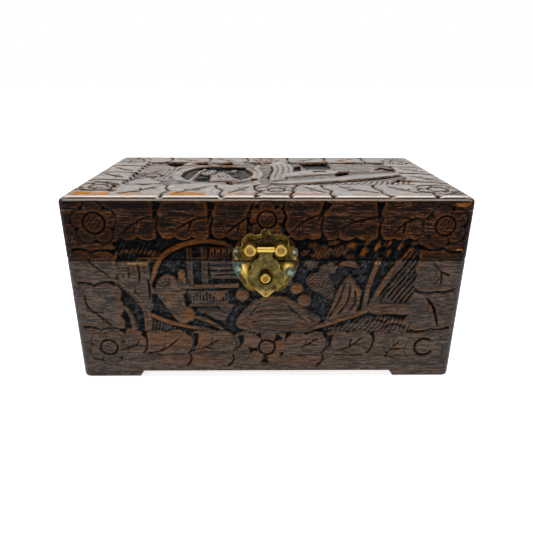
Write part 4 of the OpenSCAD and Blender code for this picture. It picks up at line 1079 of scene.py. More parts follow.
# The marks of carved and stained camphorwood, in millimetres: how wide and how long, or one size
camphorMarks = {
    "fine": (1.5, 14),
    "bands": (7, 80),
    "pores": (1.0, 8),  # real pores are 0.2 mm wide; drawn as coarse as they need to show
    "blotch": 26,  # uneven rubbing
    "grit": 1.3,
    "chips": (1.2, 5),  # dust caught in the marks of the punch and chisel, with painted glints on them
    "chipLean": 32,  # degrees to the right
    "shares": (0.55, 0.22, 0.23),  # how much fine grain, bands and grit count in the colour
}


def stainedCamphorwood(name, look):
    # Camphorwood, carved by hand, stained dark and varnished: streaky brown where it stands, nearly black and
    # dull in the cuts where stain gathered and painted shade lies, with grey dust and painted glints on their
    # chisel marks, rubbed back to orange wood on the edges, and with painted highlight lines on the lid's
    # upper edge. A Mix node's colours are its inputs 6 and 7 and its output 2, and its numbers are its inputs
    # 2 and 3.
    material, add, place = newMaterial(name)
    marks = camphorMarks
    fine = grainMarks(add, place, look["grain"], marks["fine"], 6.0, 0.78)
    bands = grainMarks(add, place, look["grain"], marks["bands"], 2.0, 0.5, 7.0)
    pores = grainMarks(add, place, look["grain"], marks["pores"], 2.0, 0.6, 3.0)
    blotch = add("TexNoise", {"Vector": place, "Scale": 1000 / marks["blotch"], "Detail": 3.0})
    grit = add("TexNoise", {"Vector": place, "Scale": 1000 / marks["grit"], "Detail": 2.0,
                            "Roughness": 0.7})
    wide, long = marks["chips"]
    leaning = add("Mapping", {"Vector": place, "Rotation": (0, np.radians(marks["chipLean"]), 0),
                              "Scale": (wide * mm, wide * mm, long * mm)}, vector_type="TEXTURE")
    chips = add("TexNoise", {"Vector": leaning, "Scale": 1.0, "Detail": 3.0, "Roughness": 0.7})
    wear, groove, highlightAndCoat = ((add("Attribute", attribute_name=layer), "Fac")
                            for layer in ("wear", "groove", "highlightAndCoat"))
    # what was left standing is streaked: fine grain, bands and grit add up to a place on the ramp of browns
    shares = [add("Math", {0: pattern, 1: share}, operation="MULTIPLY")
              for pattern, share in zip((fine, bands, grit), marks["shares"])]
    grain = add("Math", {0: shares[0], 1: shares[1]}, operation="ADD")
    streak = add("Math", {0: grain, 1: shares[2]}, operation="ADD")
    browns = (look["dark"], look["raised"], look["light"])
    wood = add("ValToRGB", {"Fac": streak}, list(zip(look["tones"], browns)))
    inPore = add("ValToRGB", {"Fac": pores}, [(look["poreEdge"] - 0.035, 1.0), (look["poreEdge"], 0.0)])
    darkPore = add("Math", {0: inPore, 1: look["open"]}, operation="MULTIPLY")
    porous = add("Mix", {0: darkPore, 6: wood, 7: look["pore"]}, data_type="RGBA")
    # hands rub it in patches and streaks, and where the finish has come off altogether the wood is paler
    patchy = add("ValToRGB", {"Fac": blotch}, [(0.38, 0.35), (0.62, 1.0)])
    patches = add("Math", {0: wear, 1: patchy}, operation="MULTIPLY")
    worn = add("Math", {0: patches, 1: look["wear"]}, operation="MULTIPLY", use_clamp=True)
    streaky = add("ValToRGB", {"Fac": fine}, [(0.36, 0.35), (0.52, 1.0)])
    broken = add("Math", {0: worn, 1: streaky}, operation="MULTIPLY", use_clamp=True)
    bare = add("MapRange", {"Value": wear, "From Min": 1.3, "From Max": 2.4})
    exposed = add("Mix", {0: bare, 6: look["rubbed"], 7: look["bare"]}, data_type="RGBA")
    rubbed = add("Mix", {0: broken, 6: (porous, 2), 7: (exposed, 2)}, data_type="RGBA")
    # the cuts are filled with dark stain and painted shade, with grey dust and painted glints on their slopes
    # and none in the deepest
    filled = add("ValToRGB", {"Fac": groove}, [(look["fill"][0], 0.0), (look["fill"][1], 1.0)])
    glintyDust = add("ValToRGB", {"Fac": chips}, [(0.49, look["ground"]), (0.61, look["dustAndGlints"])])
    deepest = add("ValToRGB", {"Fac": groove}, [(0.6, 0.0), (0.95, 1.0)])
    sunk = add("Mix", {0: deepest, 6: glintyDust, 7: look["ground"]}, data_type="RGBA")
    stained = add("Mix", {0: filled, 6: (rubbed, 2), 7: (sunk, 2)}, data_type="RGBA")
    # along two lines on the lid's upper edge the colour is mixed towards pale: painted highlight lines
    paintedHighlight = add("Math", {0: highlightAndCoat, 1: 0.65}, operation="MULTIPLY")
    colour = add("Mix", {0: paintedHighlight, 6: (stained, 2), 7: look["polishAndHighlightTone"]}, data_type="RGBA")
    rough = add("MapRange", {"Value": fine, "To Min": look["rough"][0], "To Max": look["rough"][1]})
    shine = add("Mix", {0: groove, 2: rough, 3: look["grooveRough"]}, data_type="FLOAT")
    # rubbed wood has lost its lacquer, and the painted highlight lines on the upper edge get a clear coat
    lacquer = add("Math", {0: 1.0, 1: worn}, operation="SUBTRACT", use_clamp=True)
    sheen = add("Math", {0: lacquer, 1: look["gloss"]}, operation="MULTIPLY")
    gloss = add("Mix", {0: groove, 2: sheen, 3: look["grooveGloss"]}, data_type="FLOAT")
    poreDepth = add("Math", {0: inPore, 1: 0.6}, operation="MULTIPLY")
    uncoated = add("Math", {0: groove, 1: poreDepth}, operation="ADD")
    coated = add("Math", {0: lacquer, 1: uncoated}, operation="SUBTRACT", use_clamp=True)
    varnish = add("Math", {0: coated, 1: look["coat"]}, operation="MULTIPLY")
    coat = add("Math", {0: varnish, 1: highlightAndCoat}, operation="ADD", use_clamp=True)
    height = add("Math", {0: fine, 1: poreDepth}, operation="SUBTRACT")
    bump = add("Bump", {"Height": height, "Strength": 0.8, "Distance": look["bump"] * mm})
    add("OutputMaterial", {"Surface": add("BsdfPrincipled", {
        "Base Color": (colour, 2), "Roughness": shine, "Specular IOR Level": gloss, "Coat Weight": coat,
        "Coat Roughness": 0.2, "Normal": bump})})
    return material


# tones are the places of dark, raised and light on the streaks; fill is how deep a cut starts and ends
# filling with stain and painted shade; bump is in millimetres
lidLook = {
    "tones": (0.468, 0.514, 0.556),
    "dark": "#070403",
    "raised": "#24150f",
    "light": "#7a4f36",
    "poreEdge": 0.505,
    "pore": "#040202",
    "open": 0.9,  # how dark the pores are
    "wear": 0.7,
    "rubbed": "#a86126",
    "bare": "#d09a58",
    # the pale colour of the painted highlight lines on the lid's upper edge
    "polishAndHighlightTone": "#d2bca8",
    "fill": (0.1, 0.6),
    "ground": "#040404",
    # the grey of the dust and the painted glints in the chisel marks
    "dustAndGlints": "#34373a",
    "rough": (0.4, 0.6),
    "grooveRough": 0.4,
    "gloss": 0.08,
    "grooveGloss": 0.03,
    "coat": 0.0,
    "bump": 0.3,
}
# on the body, the bluish grey in the chisel marks is partly dust and partly painted glints
bodyLook = dict(
    lidLook, tones=(0.452, 0.484, 0.556), dark="#120e0c", raised="#5c493c", light="#76604f", poreEdge=0.5,
    pore="#0a0807", rubbed="#b0713a", bare="#dcae6c", fill=(0.12, 0.62), ground="#050607", dustAndGlints="#4b5157",
    rough=(0.42, 0.6), gloss=0.32, grooveGloss=0.06)
topLook = dict(
    lidLook, tones=(0.462, 0.508, 0.552), dark="#35261a", raised="#5c452e", light="#8a6a48", poreEdge=0.485,
    pore="#20160e", open=0.85, wear=0.5, rubbed="#b8702c", bare="#c8853f", fill=(0.3, 0.75),
    ground="#030202", dustAndGlints="#100c0a", rough=(0.34, 0.5), grooveRough=0.7, gloss=0.32, grooveGloss=0.0,
    coat=0.44)
carvedMaterials = {}
for part, look in (("lid", lidLook), ("body", bodyLook), ("top", topLook)):
    for grain in "XY":
        title = f"stainedCamphorwood_{part}{grain}"
        carvedMaterials[part + grain] = stainedCamphorwood(title, dict(look, grain=grain))


def bareWood(name, look):
    # Camphorwood planed and left unstained: warm brown with soft growth bands and a dull, open surface
    material, add, place = newMaterial(name)
    fine = grainMarks(add, place, look["grain"], look["fine"], 4.0, 0.6)
    bands = grainMarks(add, place, look["grain"], look["bands"], 2.0, 0.5, 5.0)
    shares = [add("Math", {0: pattern, 1: share}, operation="MULTIPLY")
              for pattern, share in ((fine, 0.45), (bands, 0.55))]
    streak = add("Math", {0: shares[0], 1: shares[1]}, operation="ADD")
    stops = [(0.38, look["dark"]), (0.52, look["mid"]), (0.64, look["light"])]
    wood = add("ValToRGB", {"Fac": streak}, stops)
    bump = add("Bump", {"Height": fine, "Strength": 0.5, "Distance": look["bump"] * mm})
    add("OutputMaterial", {"Surface": add("BsdfPrincipled", {
        "Base Color": wood, "Roughness": look["rough"], "Normal": bump})})
    return material


bareLook = {
    "dark": "#6d4327",
    "mid": "#8f5f3a",
    "light": "#ab7a4e",
    "fine": (0.9, 40),  # width and length of the marks, in millimetres
    "bands": (14, 160),
    "rough": 0.55,
    "bump": 0.12,
}
bareCamphor = {grain: bareWood(f"bareCamphorwood_{grain}", dict(bareLook, grain=grain)) for grain in "XY"}


def agedBrass(name, look):
    # Stamped sheet brass, lacquer long gone: olive gold, mottled brown where it tarnished, brighter where
    # hands rub it and where the studs have a painted highlight ring, darker with dirt in the stamping and
    # with painted shade on the studs, and grey-green verdigris where the attribute says so
    material, add, place = newMaterial(name)
    mottle = add("TexNoise", {"Vector": place, "Scale": 1000 / look["mottle"], "Detail": 5.0,
                              "Roughness": 0.7})
    speck = add("TexNoise", {"Vector": place, "Scale": 1000 / look["speck"], "Detail": 2.0})
    wear, green, groove = ((add("Attribute", attribute_name=layer), "Fac")
                           for layer in ("wear", "verdigris", "groove"))
    stops = [(0.34, look["dark"]), (0.52, look["mid"]), (0.68, look["light"])]
    metal = add("ValToRGB", {"Fac": mottle}, stops)
    spots = add("ValToRGB", {"Fac": speck}, [(0.34, 1.0), (0.42, 0.0)])
    tarnish = add("Math", {0: spots, 1: look["specks"]}, operation="MULTIPLY")
    spotted = add("Mix", {0: tarnish, 6: metal, 7: look["dark"]}, data_type="RGBA")
    polishAndHighlightTone = add("Mix", {0: wear, 6: (spotted, 2), 7: look["bright"]}, data_type="RGBA")
    corroded = add("Mix", {0: green, 6: (polishAndHighlightTone, 2), 7: look["green"]}, data_type="RGBA")
    colour = add("Mix", {0: groove, 6: (corroded, 2), 7: look["crevice"]}, data_type="RGBA")
    # dirt, the studs' painted shade and verdigris are rougher than the metal and shine less like one
    crust = add("Math", {0: green, 1: groove}, operation="ADD", use_clamp=True)
    covered = add("Math", {0: crust, 1: 0.7}, operation="MULTIPLY")
    metallic = add("Math", {0: 1.0, 1: covered}, operation="SUBTRACT", use_clamp=True)
    rough = add("MapRange", {
        "Value": mottle, "From Min": 0.3, "From Max": 0.7, "To Min": look["rough"][1],
        "To Max": look["rough"][0]})
    matt = add("Math", {0: crust, 1: 0.3}, operation="MULTIPLY")
    rougher = add("Math", {0: rough, 1: matt}, operation="ADD", use_clamp=True)
    bump = add("Bump", {"Height": mottle, "Strength": 0.35, "Distance": look["dents"] * mm})
    add("OutputMaterial", {"Surface": add("BsdfPrincipled", {
        "Base Color": (colour, 2), "Metallic": metallic, "Roughness": rougher, "Normal": bump})})
    return material


brassLook = {
    "dark": "#2a200d",
    "mid": "#54431d",
    "light": "#7d682e",
    "bright": "#e6c465",  # where hands rub it, and on the studs the painted highlight ring
    "green": "#566f68",
    "crevice": "#171008",
    "mottle": 5.0,  # sizes of the clouds and of the specks, in millimetres
    "speck": 0.9,
    "specks": 0.6,  # how dark the specks are
    "rough": (0.3, 0.5),
    "dents": 0.1,
}
plateBrass = agedBrass("agedBrassPlate", brassLook)
upperBrass = agedBrass("agedBrassUpperPlate", dict(brassLook, dark="#221908", mid="#453617", light="#6b5726"))
haspBrass = agedBrass("agedBrassHasp", dict(
    brassLook, dark="#332b16", mid="#5c4f2b", light="#7f7040", specks=0.8))
# on the studs, the bright colour is their painted highlight ring and the crevice colour their painted shade
studBrass = agedBrass("brassStudPaintedLight", dict(
    brassLook, dark="#63491d", mid="#92712f", light="#bb9850", bright="#d2ad58", mottle=9.0, specks=0.1,
    rough=(0.26, 0.4), dents=0.03))
hingeBrass = agedBrass("dullBrassHinge", dict(brassLook, dark="#584820", mid="#86702f", light="#9d863e"))
nailSteel = agedBrass("zincPlatedSteelNail", dict(
    brassLook, dark="#4f5350", mid="#7f8683", light="#a5aba6", bright="#c8ccc8", crevice="#1c1d1b"))
nailGreen = agedBrass("verdigrisNail", dict(
    brassLook, dark="#4c5f58", mid="#6d8880", light="#8aa79c", rough=(0.45, 0.6)))
print("materials made")


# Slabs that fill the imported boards' plain sunk fields, in millimetres
fillers = {
    "deep": 2.6,
    "halfLong": 115,  # half their length on the front and the back
    "halfShort": 55,  # and on the ends
    "low": 41.0,
    "high": 120.0,
    "seamRoom": 2.75,  # keeps the one at the back off the bevel and the hinge barrels
    "topHalf": 120,
    "topInset": 30,  # from the front and the back
    "topDeep": 3.9,
}


def fieldFiller(low, high):
    # The slab that fills one board's field, so that the carving is cut from whole wood
    deep, halfLong, halfShort = (fillers[key] for key in ("deep", "halfLong", "halfShort"))
    zLow, zHigh = max(low[2], fillers["low"]), min(high[2], fillers["high"])
    if low[2] > 130:  # the top board
        half, inset = fillers["topHalf"], fillers["topInset"]
        return slab((-half, box["front"] + inset, box["top"] - fillers["topDeep"]),
                    (half, box["back"] - inset, box["top"]))
    if high[1] - low[1] > 150:  # the ends
        x = (low[0], low[0] + deep) if low[0] < 0 else (high[0] - deep, high[0])
        return slab((x[0], middle - halfShort, zLow), (x[1], middle + halfShort, zHigh))
    if abs(low[1] - box["front"]) < 1:
        return slab((-halfLong, box["front"], zLow), (halfLong, box["front"] + deep, zHigh))
    if low[2] > 50:  # the lid's part of the back
        zLow += fillers["seamRoom"]
    else:
        zHigh -= fillers["seamRoom"]
    return slab((-halfLong, box["back"] - deep, zLow), (halfLong, box["back"], zHigh))


def carveBoard(node, title, body):
    # Fills a copy of a packed board and cuts it with the block of each face that it touches
    low, high = cornersOf(node)
    piece = copyOfNode(node, title)
    touched = [face for face, near in (
        ("front", abs(low[1] - box["front"]) < 1), ("back", abs(high[1] - box["back"]) < 1),
        ("left", abs(low[0] + box["halfWidth"]) < 1), ("right", abs(high[0] - box["halfWidth"]) < 1),
        ("top", abs(high[2] - box["top"]) < 1)) if near]
    blocks = [(faceBlock(face, low, high), "INTERSECT") for face in touched]
    combine(piece, [(fieldFiller(low, high), "UNION")] + blocks)
    paintBoard(piece, touched)
    smoothShade(piece)
    mount(piece, node, body)


# How a carved board is rubbed, where its painted highlight lines lie and where its looks change, in
# millimetres
boardFinish = {
    "onFace": 0.25,  # a vertex this near a face's grid takes that grid's stain, painted shade and wear
    "nearFace": 1.4,  # others this near are on a corner
    "cornerWear": 0.3,
    "highlightDown": 2.6,  # how far down the lid's upper edge the painted highlight lines reach
    "frontReach": 9,  # the painted highlight is full this near the front
    "elsewhere": 0.1,
    "turnOfEdge": (0.95, 0.45),  # middle and half width of the line on the turn of the edge
    "behindBead": (2.3, 6.0, 0.5, 1.15),  # from, to, fade and strength of the line behind the bead
    "topEdge": (2.4, 3, 0.15),  # the top board has the lid's look this near its front and ends, this far down
    "bareFrom": 9,  # inner faces are bare wood above this height, in the floor's groove
}


def paintBoard(piece, touched):
    # Writes, as attributes of the vertices, where stain and painted shade lie, where hands have rubbed, and
    # where the lid's upper edge has its painted highlight lines and clear coat, read off the same grids that
    # cut them;
    # faces inside the box take the bare wood
    p = vertexArray(piece.data) / mm
    groove, wear, highlightAndCoat = np.zeros((3, len(p)))
    offset = np.full(len(p), 9.0)
    nearest = np.full(len(p), 99.0)
    for face in touched:
        relief = reliefs[face]
        a, b, depth = faceCoordinates(face, p)
        off = np.abs(depth - sample(relief, relief.depth, a, b))
        closer = off < offset
        cut = closer & (off < boardFinish["onFace"])
        groove = np.where(cut, sample(relief, relief.groove, a, b), groove)
        wear = np.where(cut, sample(relief, relief.wear, a, b), wear)
        offset = np.where(closer, off, offset)
        nearest = np.minimum(nearest, depth)
    onCorner = (offset >= boardFinish["onFace"]) & (nearest < boardFinish["nearFace"])
    wear[onCorner] = boardFinish["cornerWear"]
    if "top" in touched:  # the two painted highlight lines along the lid's upper edge, which also get a clear coat
        fromFront = p[:, 1] - box["front"]
        inward = np.minimum(box["halfWidth"] - np.abs(p[:, 0]), np.minimum(fromFront, box["back"] - p[:, 1]))
        full = 1 - boardFinish["elsewhere"]
        strength = boardFinish["elsewhere"] + full * (fromFront < boardFinish["frontReach"])
        start, end, fade, bold = boardFinish["behindBead"]
        behind = smoothStep((inward - start) / fade) * smoothStep((end - inward) / fade)
        lines = ridge(inward, *boardFinish["turnOfEdge"]) + bold * behind
        highlightAndCoat = (p[:, 2] > box["top"] - boardFinish["highlightDown"]) * strength * lines
    writeAttributes(piece, {"groove": groove, "wear": wear, "highlightAndCoat": highlightAndCoat})
    pickMaterials(piece, "top" in touched, np.ptp(p[:, 0]) > 100)


def pickMaterials(piece, isTop, alongX):
    # Slot 0 is the carved wood, 1 the bare wood inside, and on the top board 2 is the look of the lid's sides
    mesh = piece.data
    centres = np.empty(len(mesh.polygons) * 3)
    mesh.polygons.foreach_get("center", centres)
    p = centres.reshape(-1, 3) / mm
    part = "top" if isTop else "lid" if piece.name.startswith("lid") else "body"
    grain = "X" if alongX else "Y"
    mesh.materials.append(carvedMaterials[part + grain])
    mesh.materials.append(bareCamphor[grain])
    inner = innerFaces(p)
    index = inner.astype(np.int32)
    if isTop:
        mesh.materials.append(carvedMaterials["lid" + grain])
        nearFront, nearEnd, down = boardFinish["topEdge"]
        atEdge = (p[:, 1] < box["front"] + nearFront) | (np.abs(p[:, 0]) > box["halfWidth"] - nearEnd)
        overEdge = atEdge & (p[:, 2] < box["top"] - down)
        index[~inner & (overEdge | (p[:, 2] < box["top"] - carving["longEdge"]))] = 2
        index[(p[:, 2] < box["railTop"] + 0.3)] = 1
    mesh.polygons.foreach_set("material_index", index)
    mesh.update()


def innerFaces(p):
    # Inside the walls, below the top board and above the floor groove
    reach = box["wall"] - 0.3
    return ((np.abs(p[:, 0]) < box["halfWidth"] - reach) & (p[:, 1] > box["front"] + reach)
            & (p[:, 1] < box["back"] - reach) & (p[:, 2] < box["railTop"] + 0.3)
            & (p[:, 2] > boardFinish["bareFrom"]))


boards = [
    ("front_board", "carvedFront", "case"), ("back_board", "carvedBack", "case"),
    ("left_board", "carvedLeftEnd", "case"), ("right_board", "carvedRightEnd", "case"),
    ("lid_top", "lidCarvedTop", "lid"), ("lid_front_rail", "lidCarvedFront", "lid"),
    ("lid_back_rail", "lidCarvedBack", "lid"), ("lid_left_rail", "lidCarvedLeftEnd", "lid"),
    ("lid_right_rail", "lidCarvedRightEnd", "lid"),
]
for node, title, body in boards:
    carveBoard(node, title, body)
print("boards carved")

plain = {
    "rounding": 0.6,  # of the edges, in millimetres
    "segments": 2,
    "sharpest": 35,  # degrees; edges sharper than this are eased
}


def softened(node, title, body, material):
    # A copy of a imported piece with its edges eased
    piece = copyOfNode(node, title)
    work = bmesh.new()
    work.from_mesh(piece.data)
    bmesh.ops.dissolve_limit(work, angle_limit=0.01, verts=work.verts, edges=work.edges)
    work.to_mesh(piece.data)
    work.free()
    bevel = piece.modifiers.new("easedEdges", "BEVEL")
    bevel.width = plain["rounding"] * mm
    bevel.segments = plain["segments"]
    bevel.limit_method, bevel.angle_limit = "ANGLE", np.radians(plain["sharpest"])
    bevel.use_clamp_overlap = True
    bakeModifiers(piece)
    smoothShade(piece, plain["sharpest"])
    piece.data.materials.append(material)
    mount(piece, node, body)


insidePieces = [
    ("floor_panel", "floorPanel", "case", "X"), ("tray_cleat_left", "leftCleat", "case", "Y"),
    ("tray_cleat_right", "rightCleat", "case", "Y"), ("tray_front", "trayFront", "tray", "X"),
    ("tray_back", "trayBack", "tray", "X"), ("tray_left_end", "trayLeftEnd", "tray", "Y"),
    ("tray_right_end", "trayRightEnd", "tray", "Y"), ("tray_floor", "trayFloor", "tray", "X"),
    ("tray_long_divider", "trayLongDivider", "tray", "X"),
    ("tray_left_divider", "trayLeftDivider", "tray", "Y"),
    ("tray_right_divider", "trayRightDivider", "tray", "Y"),
]
for node, title, body, grain in insidePieces:
    softened(node, title, body, bareCamphor[grain])
print("inside pieces eased")

# The latch is laid out in u, to the viewer's right, and v, up, from the middle of its plates, in millimetres;
# rounds are circles, each mirrored in u and given as u, v and radius
latch = {
    "x": (plateLow[0] + plateHigh[0]) / 2,
    "z": (box["seam"] + box["lid"]) / 2,
    "upperRounds": [(0, 0, 21.4), (0, 21.4, 3.6), (19.4, 6.8, 4.8), (10.4, 14, 7.1)],
    "lowerRounds": [(0, 0, 24.6), (9, -16.6, 8.2), (0, -24.8, 4.2)],
    "step": 0.25,  # one square of a plate's grid
    "sheet": 1.0,  # the plates stand this far off the wood
    "rolledEdge": (0.9, 0.45),  # how wide and how deep their edges turn over
    "deepest": 0.6,
}


def roundsDistance(rounds, u, v):
    # Signed distance to a union of circles mirrored in u
    best = np.full(u.shape, 1e9)
    for cu, cv, r in rounds:
        for side in (-1, 1):
            best = np.minimum(best, np.hypot(u - side * cu, v - cv) - r)
    return best


def rolled(distance, width, drop):
    # A quarter of an ellipse, drop (1 - sqrt(1 - t^2)), t running from 0 to 1 over the sheet's last width
    return drop * (1 - np.sqrt(np.clip(1 - np.clip(1 + distance / width, 0, 1) ** 2, 0, 1)))


def latchGrid(low, high):
    # u and v over a piece's box and 1 mm round it
    step = latch["step"]
    return np.meshgrid(np.arange(low[0] - 1, high[0] + 1, step) - latch["x"],
                       np.arange(low[2] - 1, high[2] + 1, step) - latch["z"])


def stampCopy(node, title, depth, u, v, front):
    # A copy of a packed sheet, cut back by depth from its front
    piece = copyOfNode(node, title)
    points = np.stack([latch["x"] + u, front + depth, latch["z"] + v], -1)
    combine(piece, [(heightBlock("stamp", points, (1, box["front"] + 3)), "INTERSECT")])
    return piece


def finishBrass(piece, node, body, material, paint):
    # paint gives at the vertices dirt and the studs' painted shade, wear and the studs' painted highlight,
    # and verdigris
    p = vertexArray(piece.data) / mm
    layers = zip(("groove", "wear", "verdigris"), paint(p[:, 0] - latch["x"], p[:, 2] - latch["z"]))
    writeAttributes(piece, {name: np.clip(values, 0, 1) for name, values in layers})
    piece.data.materials.append(material)
    smoothShade(piece, 50)
    mount(piece, node, body)


def stampedPlate(node, title, body, rounds, emboss, paint, material):
    # Its depth at (u, v) is its rolled edge, from the distance to its outline, and its stamping
    u, v = latchGrid(*cornersOf(node))
    depth = rolled(roundsDistance(rounds, u, v), *latch["rolledEdge"]) + emboss(u, v)
    front = box["front"] - latch["sheet"]
    piece = stampCopy(node, title, np.clip(depth, 0.01, latch["deepest"]), u, v, front)
    finishBrass(piece, node, body, material, paint)


def upperEmboss(u, v):
    # Two stamped arcs, each a ridge of the distance from the middle, 22 petals between them, and a line round
    # the crown
    r = np.hypot(u, v)
    outerArc = ridge(r, 17.6, 0.55) * (v > 8)
    innerArc = ridge(r, 14.4, 0.5) * (v > 6.5)
    petals = 0.5 + 0.5 * np.cos(np.arctan2(v, u) * 22)
    between = smoothStep((r - 14.6) / 0.8) * smoothStep((17.4 - r) / 0.8) * (v > 7)
    crownLine = ridge(np.hypot(u, v - 21.2), 2.3, 0.35) * (v > 18)
    return 0.25 * outerArc + 0.22 * innerArc + 0.16 * petals * between + 0.2 * crownLine


def upperPaint(u, v):
    # Dirt in the stamping, a rubbed rim and a little verdigris at the ears, all uneven
    uneven = 0.5 + 0.5 * np.sin(u * 1.7 + v * 2.3) * np.sin(u * 0.9 - v * 1.1)
    groove = 0.9 * upperEmboss(u, v) / 0.25 * 0.6
    wear = smoothStep((roundsDistance(latch["upperRounds"], u, v) + 1.0) / 0.8) * 0.5 * uneven
    green = 0.25 * smoothStep((np.abs(u) - 18.5) / 3) * uneven
    return groove, wear, green


def lowerEmboss(u, v):
    # One stamped line along the rim, and one inside it below the middle
    r = np.hypot(u, v)
    return 0.22 * ridge(r, 22.2, 0.45) * (v > -22) + 0.14 * ridge(r, 18.4, 0.5) * (v < -2)


def lowerPaint(u, v):
    # Verdigris on the left and round the right nail, and a crescent that the hasp has rubbed bright
    left = smoothStep((-u - 15.8 + 0.25 * v) / 2.0) * smoothStep((v + 17) / 3)
    rightNail = smoothStep((5.0 - np.hypot(u - 18.4, v + 8.8)) / 2)
    green = np.clip(left + 0.8 * rightNail, 0, 1) * 0.95
    shown = smoothStep((-v - 1.5) / 2) * smoothStep((np.abs(u) - 8.5) / 3)
    crescent = ridge(np.hypot(u, v), 17.5, 2.4) * shown
    return lowerEmboss(u, v) / 0.22 * 0.55, crescent * (1 - green) * 0.95, green


stampedPlate("latch_upper_plate", "upperPlate", "lid", latch["upperRounds"], upperEmboss, upperPaint,
             upperBrass)
stampedPlate("latch_lower_plate", "lowerPlate", "case", latch["lowerRounds"], lowerEmboss, lowerPaint,
             plateBrass)

hasp = {
    "rounds": [(0, -4.6, 10.6), (5, -12, 9.5), (0, -24.6, 3.0), (3.5, -19.5, 6.4)],
    "eyeDepth": 2.8,  # the sheet lies this far behind the rolled eye's front
    "eyeFrom": 8.4,  # above this height the eye is left as it is packed
    "hole": (-10.9, 1.3, 5.2),  # height of its middle, half its straight part, and its radius
    "rolledEdge": (1.0, 0.5),
    "deepest": 0.7,
}


def makeHasp():
    # A sheet of the same kind with a slot for the peg, below a rolled eye that turns on the rod
    low, high = cornersOf("latch_hasp")
    shift = (low[0] + high[0]) / 2 - latch["x"]  # the hasp hangs a little to one side
    u, v = latchGrid(low, high)
    fromHasp = u - shift
    place, straight, radius = hasp["hole"]
    fromHole = np.hypot(fromHasp, np.maximum(np.abs(v - place) - straight, 0)) - radius
    depth = rolled(roundsDistance(hasp["rounds"], fromHasp, v), *hasp["rolledEdge"]) * (v < 4.5)
    depth += 0.3 * ridge(fromHole, 0.4, 0.5)  # the hole's rim is turned in, with a line stamped round it
    depth += 0.18 * ridge(fromHole, 1.9, 0.35) + haspSprig(fromHasp, v)
    depth = np.where(v > hasp["eyeFrom"], -6.0, np.clip(depth, 0.01, hasp["deepest"]))
    piece = stampCopy("latch_hasp", "hasp", depth, u, v, low[1] + hasp["eyeDepth"])

    def paint(pu, pv):
        # Rubbed at its tip, its rim and its eye
        pu = pu - shift
        rim = smoothStep((roundsDistance(hasp["rounds"], pu, pv) + 0.9) / 0.7) * (pv < 3)
        wear = 0.35 * smoothStep((-pv - 20) / 4) + 0.9 * smoothStep((pv - 8.6) / 0.8)
        return haspSprig(pu, pv) / 0.2 * 0.6, np.clip(wear + 0.35 * rim, 0, 1), np.zeros(len(pu))

    finishBrass(piece, "latch_hasp", "hasp", haspBrass, paint)


def haspSprig(u, v):
    # A little stamped sprig near the tip: a stem, and leaves where |u| is near 0.9 (v + 25.5) modulo 2.6
    leaves = ridge(np.abs(u) - 0.9 * (v + 25.5) % 2.6, 0.0, 0.35) * smoothStep((3.4 - np.abs(u)) / 1)
    low = smoothStep((-v - 19.6) / 1.0) * smoothStep((v + 26.3) / 1.0)
    return 0.2 * np.clip(leaves + ridge(u, 0, 0.3), 0, 1) * low


makeHasp()


def turned(name, profiles, steps=64):
    # Surfaces of revolution about lines along Y: each profile is (x, z, points), its points being radius r
    # and y. Each is swept round its line, x + r cos t, z + r sin t; both ends close on the line.
    allPoints, polygons, start = [], [], 0
    t = np.linspace(0, 2 * np.pi, steps, endpoint=False)
    j = np.arange(steps)
    k = (j + 1) % steps
    for x, z, line in profiles:
        line = np.asarray(line, float)
        r, y = line[:, :1], np.repeat(line[:, 1:], steps, 1)
        ring = np.stack([x + r * np.cos(t), y, z + r * np.sin(t)], -1).reshape(-1, 3)
        i = start + np.arange(len(line) - 1)[:, None] * steps
        polygons += np.stack([i + j, i + k, i + steps + k, i + steps + j], -1).reshape(-1, 4).tolist()
        far = start + len(ring) - steps
        first = np.full(steps, start + len(ring))
        polygons += np.stack([first, start + k, start + j], -1).tolist()
        polygons += np.stack([first + 1, far + j, far + k], -1).tolist()
        allPoints += [ring, [[x, line[0, 1], z], [x, line[-1, 1], z]]]
        start += len(ring) + 2
    return facingOut(newObject(name, np.vstack(allPoints), polygons))


# The two posts that hold the rod, and the peg that the hasp drops over, in millimetres
studs = {
    "shoulder": 0.9,  # radius of the turn from side to end
    "dome": 0.04,  # how far the end rises to its middle
    "shank": 1.6,
    "shoulderHighlight": 0.55,  # how bright the painted highlight ring inside the shoulder is
    "postShade": 0.32,  # how dark the painted shade in the middle of the end is
    "pegShade": 0.1,
}


def studProfile(radius, length):
    # From the wood side outwards: a shank, the side of the stud, a rounded shoulder and a faintly domed end
    turn = studs["shoulder"]
    shoulder = arc((radius - turn, length - turn), turn, 0, 75, 8)
    rise = length - studs["dome"] * np.linspace(1, 0, 5) ** 2
    end = np.stack([np.linspace(radius - turn, 0.2, 5), rise], -1)
    line = np.vstack([[[studs["shank"], -0.6], [studs["shank"], 1.0], [radius, 1.02]], shoulder, end])
    return np.stack([line[:, 0], box["front"] - line[:, 1]], -1)


def studPaint(x, z, radius, middleShade):
    # Painted shade makes the middle and the side darker and browner, and a painted highlight ring lies where
    # the end turns over
    def paint(u, v):
        r = np.hypot(u + latch["x"] - x, v + latch["z"] - z) / radius
        onEnd = r < 0.97
        inMiddle = smoothStep((0.68 - r) / 0.12)
        groove = np.where(onEnd, middleShade * inMiddle, 0.3)
        return groove, np.where(onEnd, studs["shoulderHighlight"] * (1 - inMiddle), 0.1), np.zeros(len(u))
    return paint


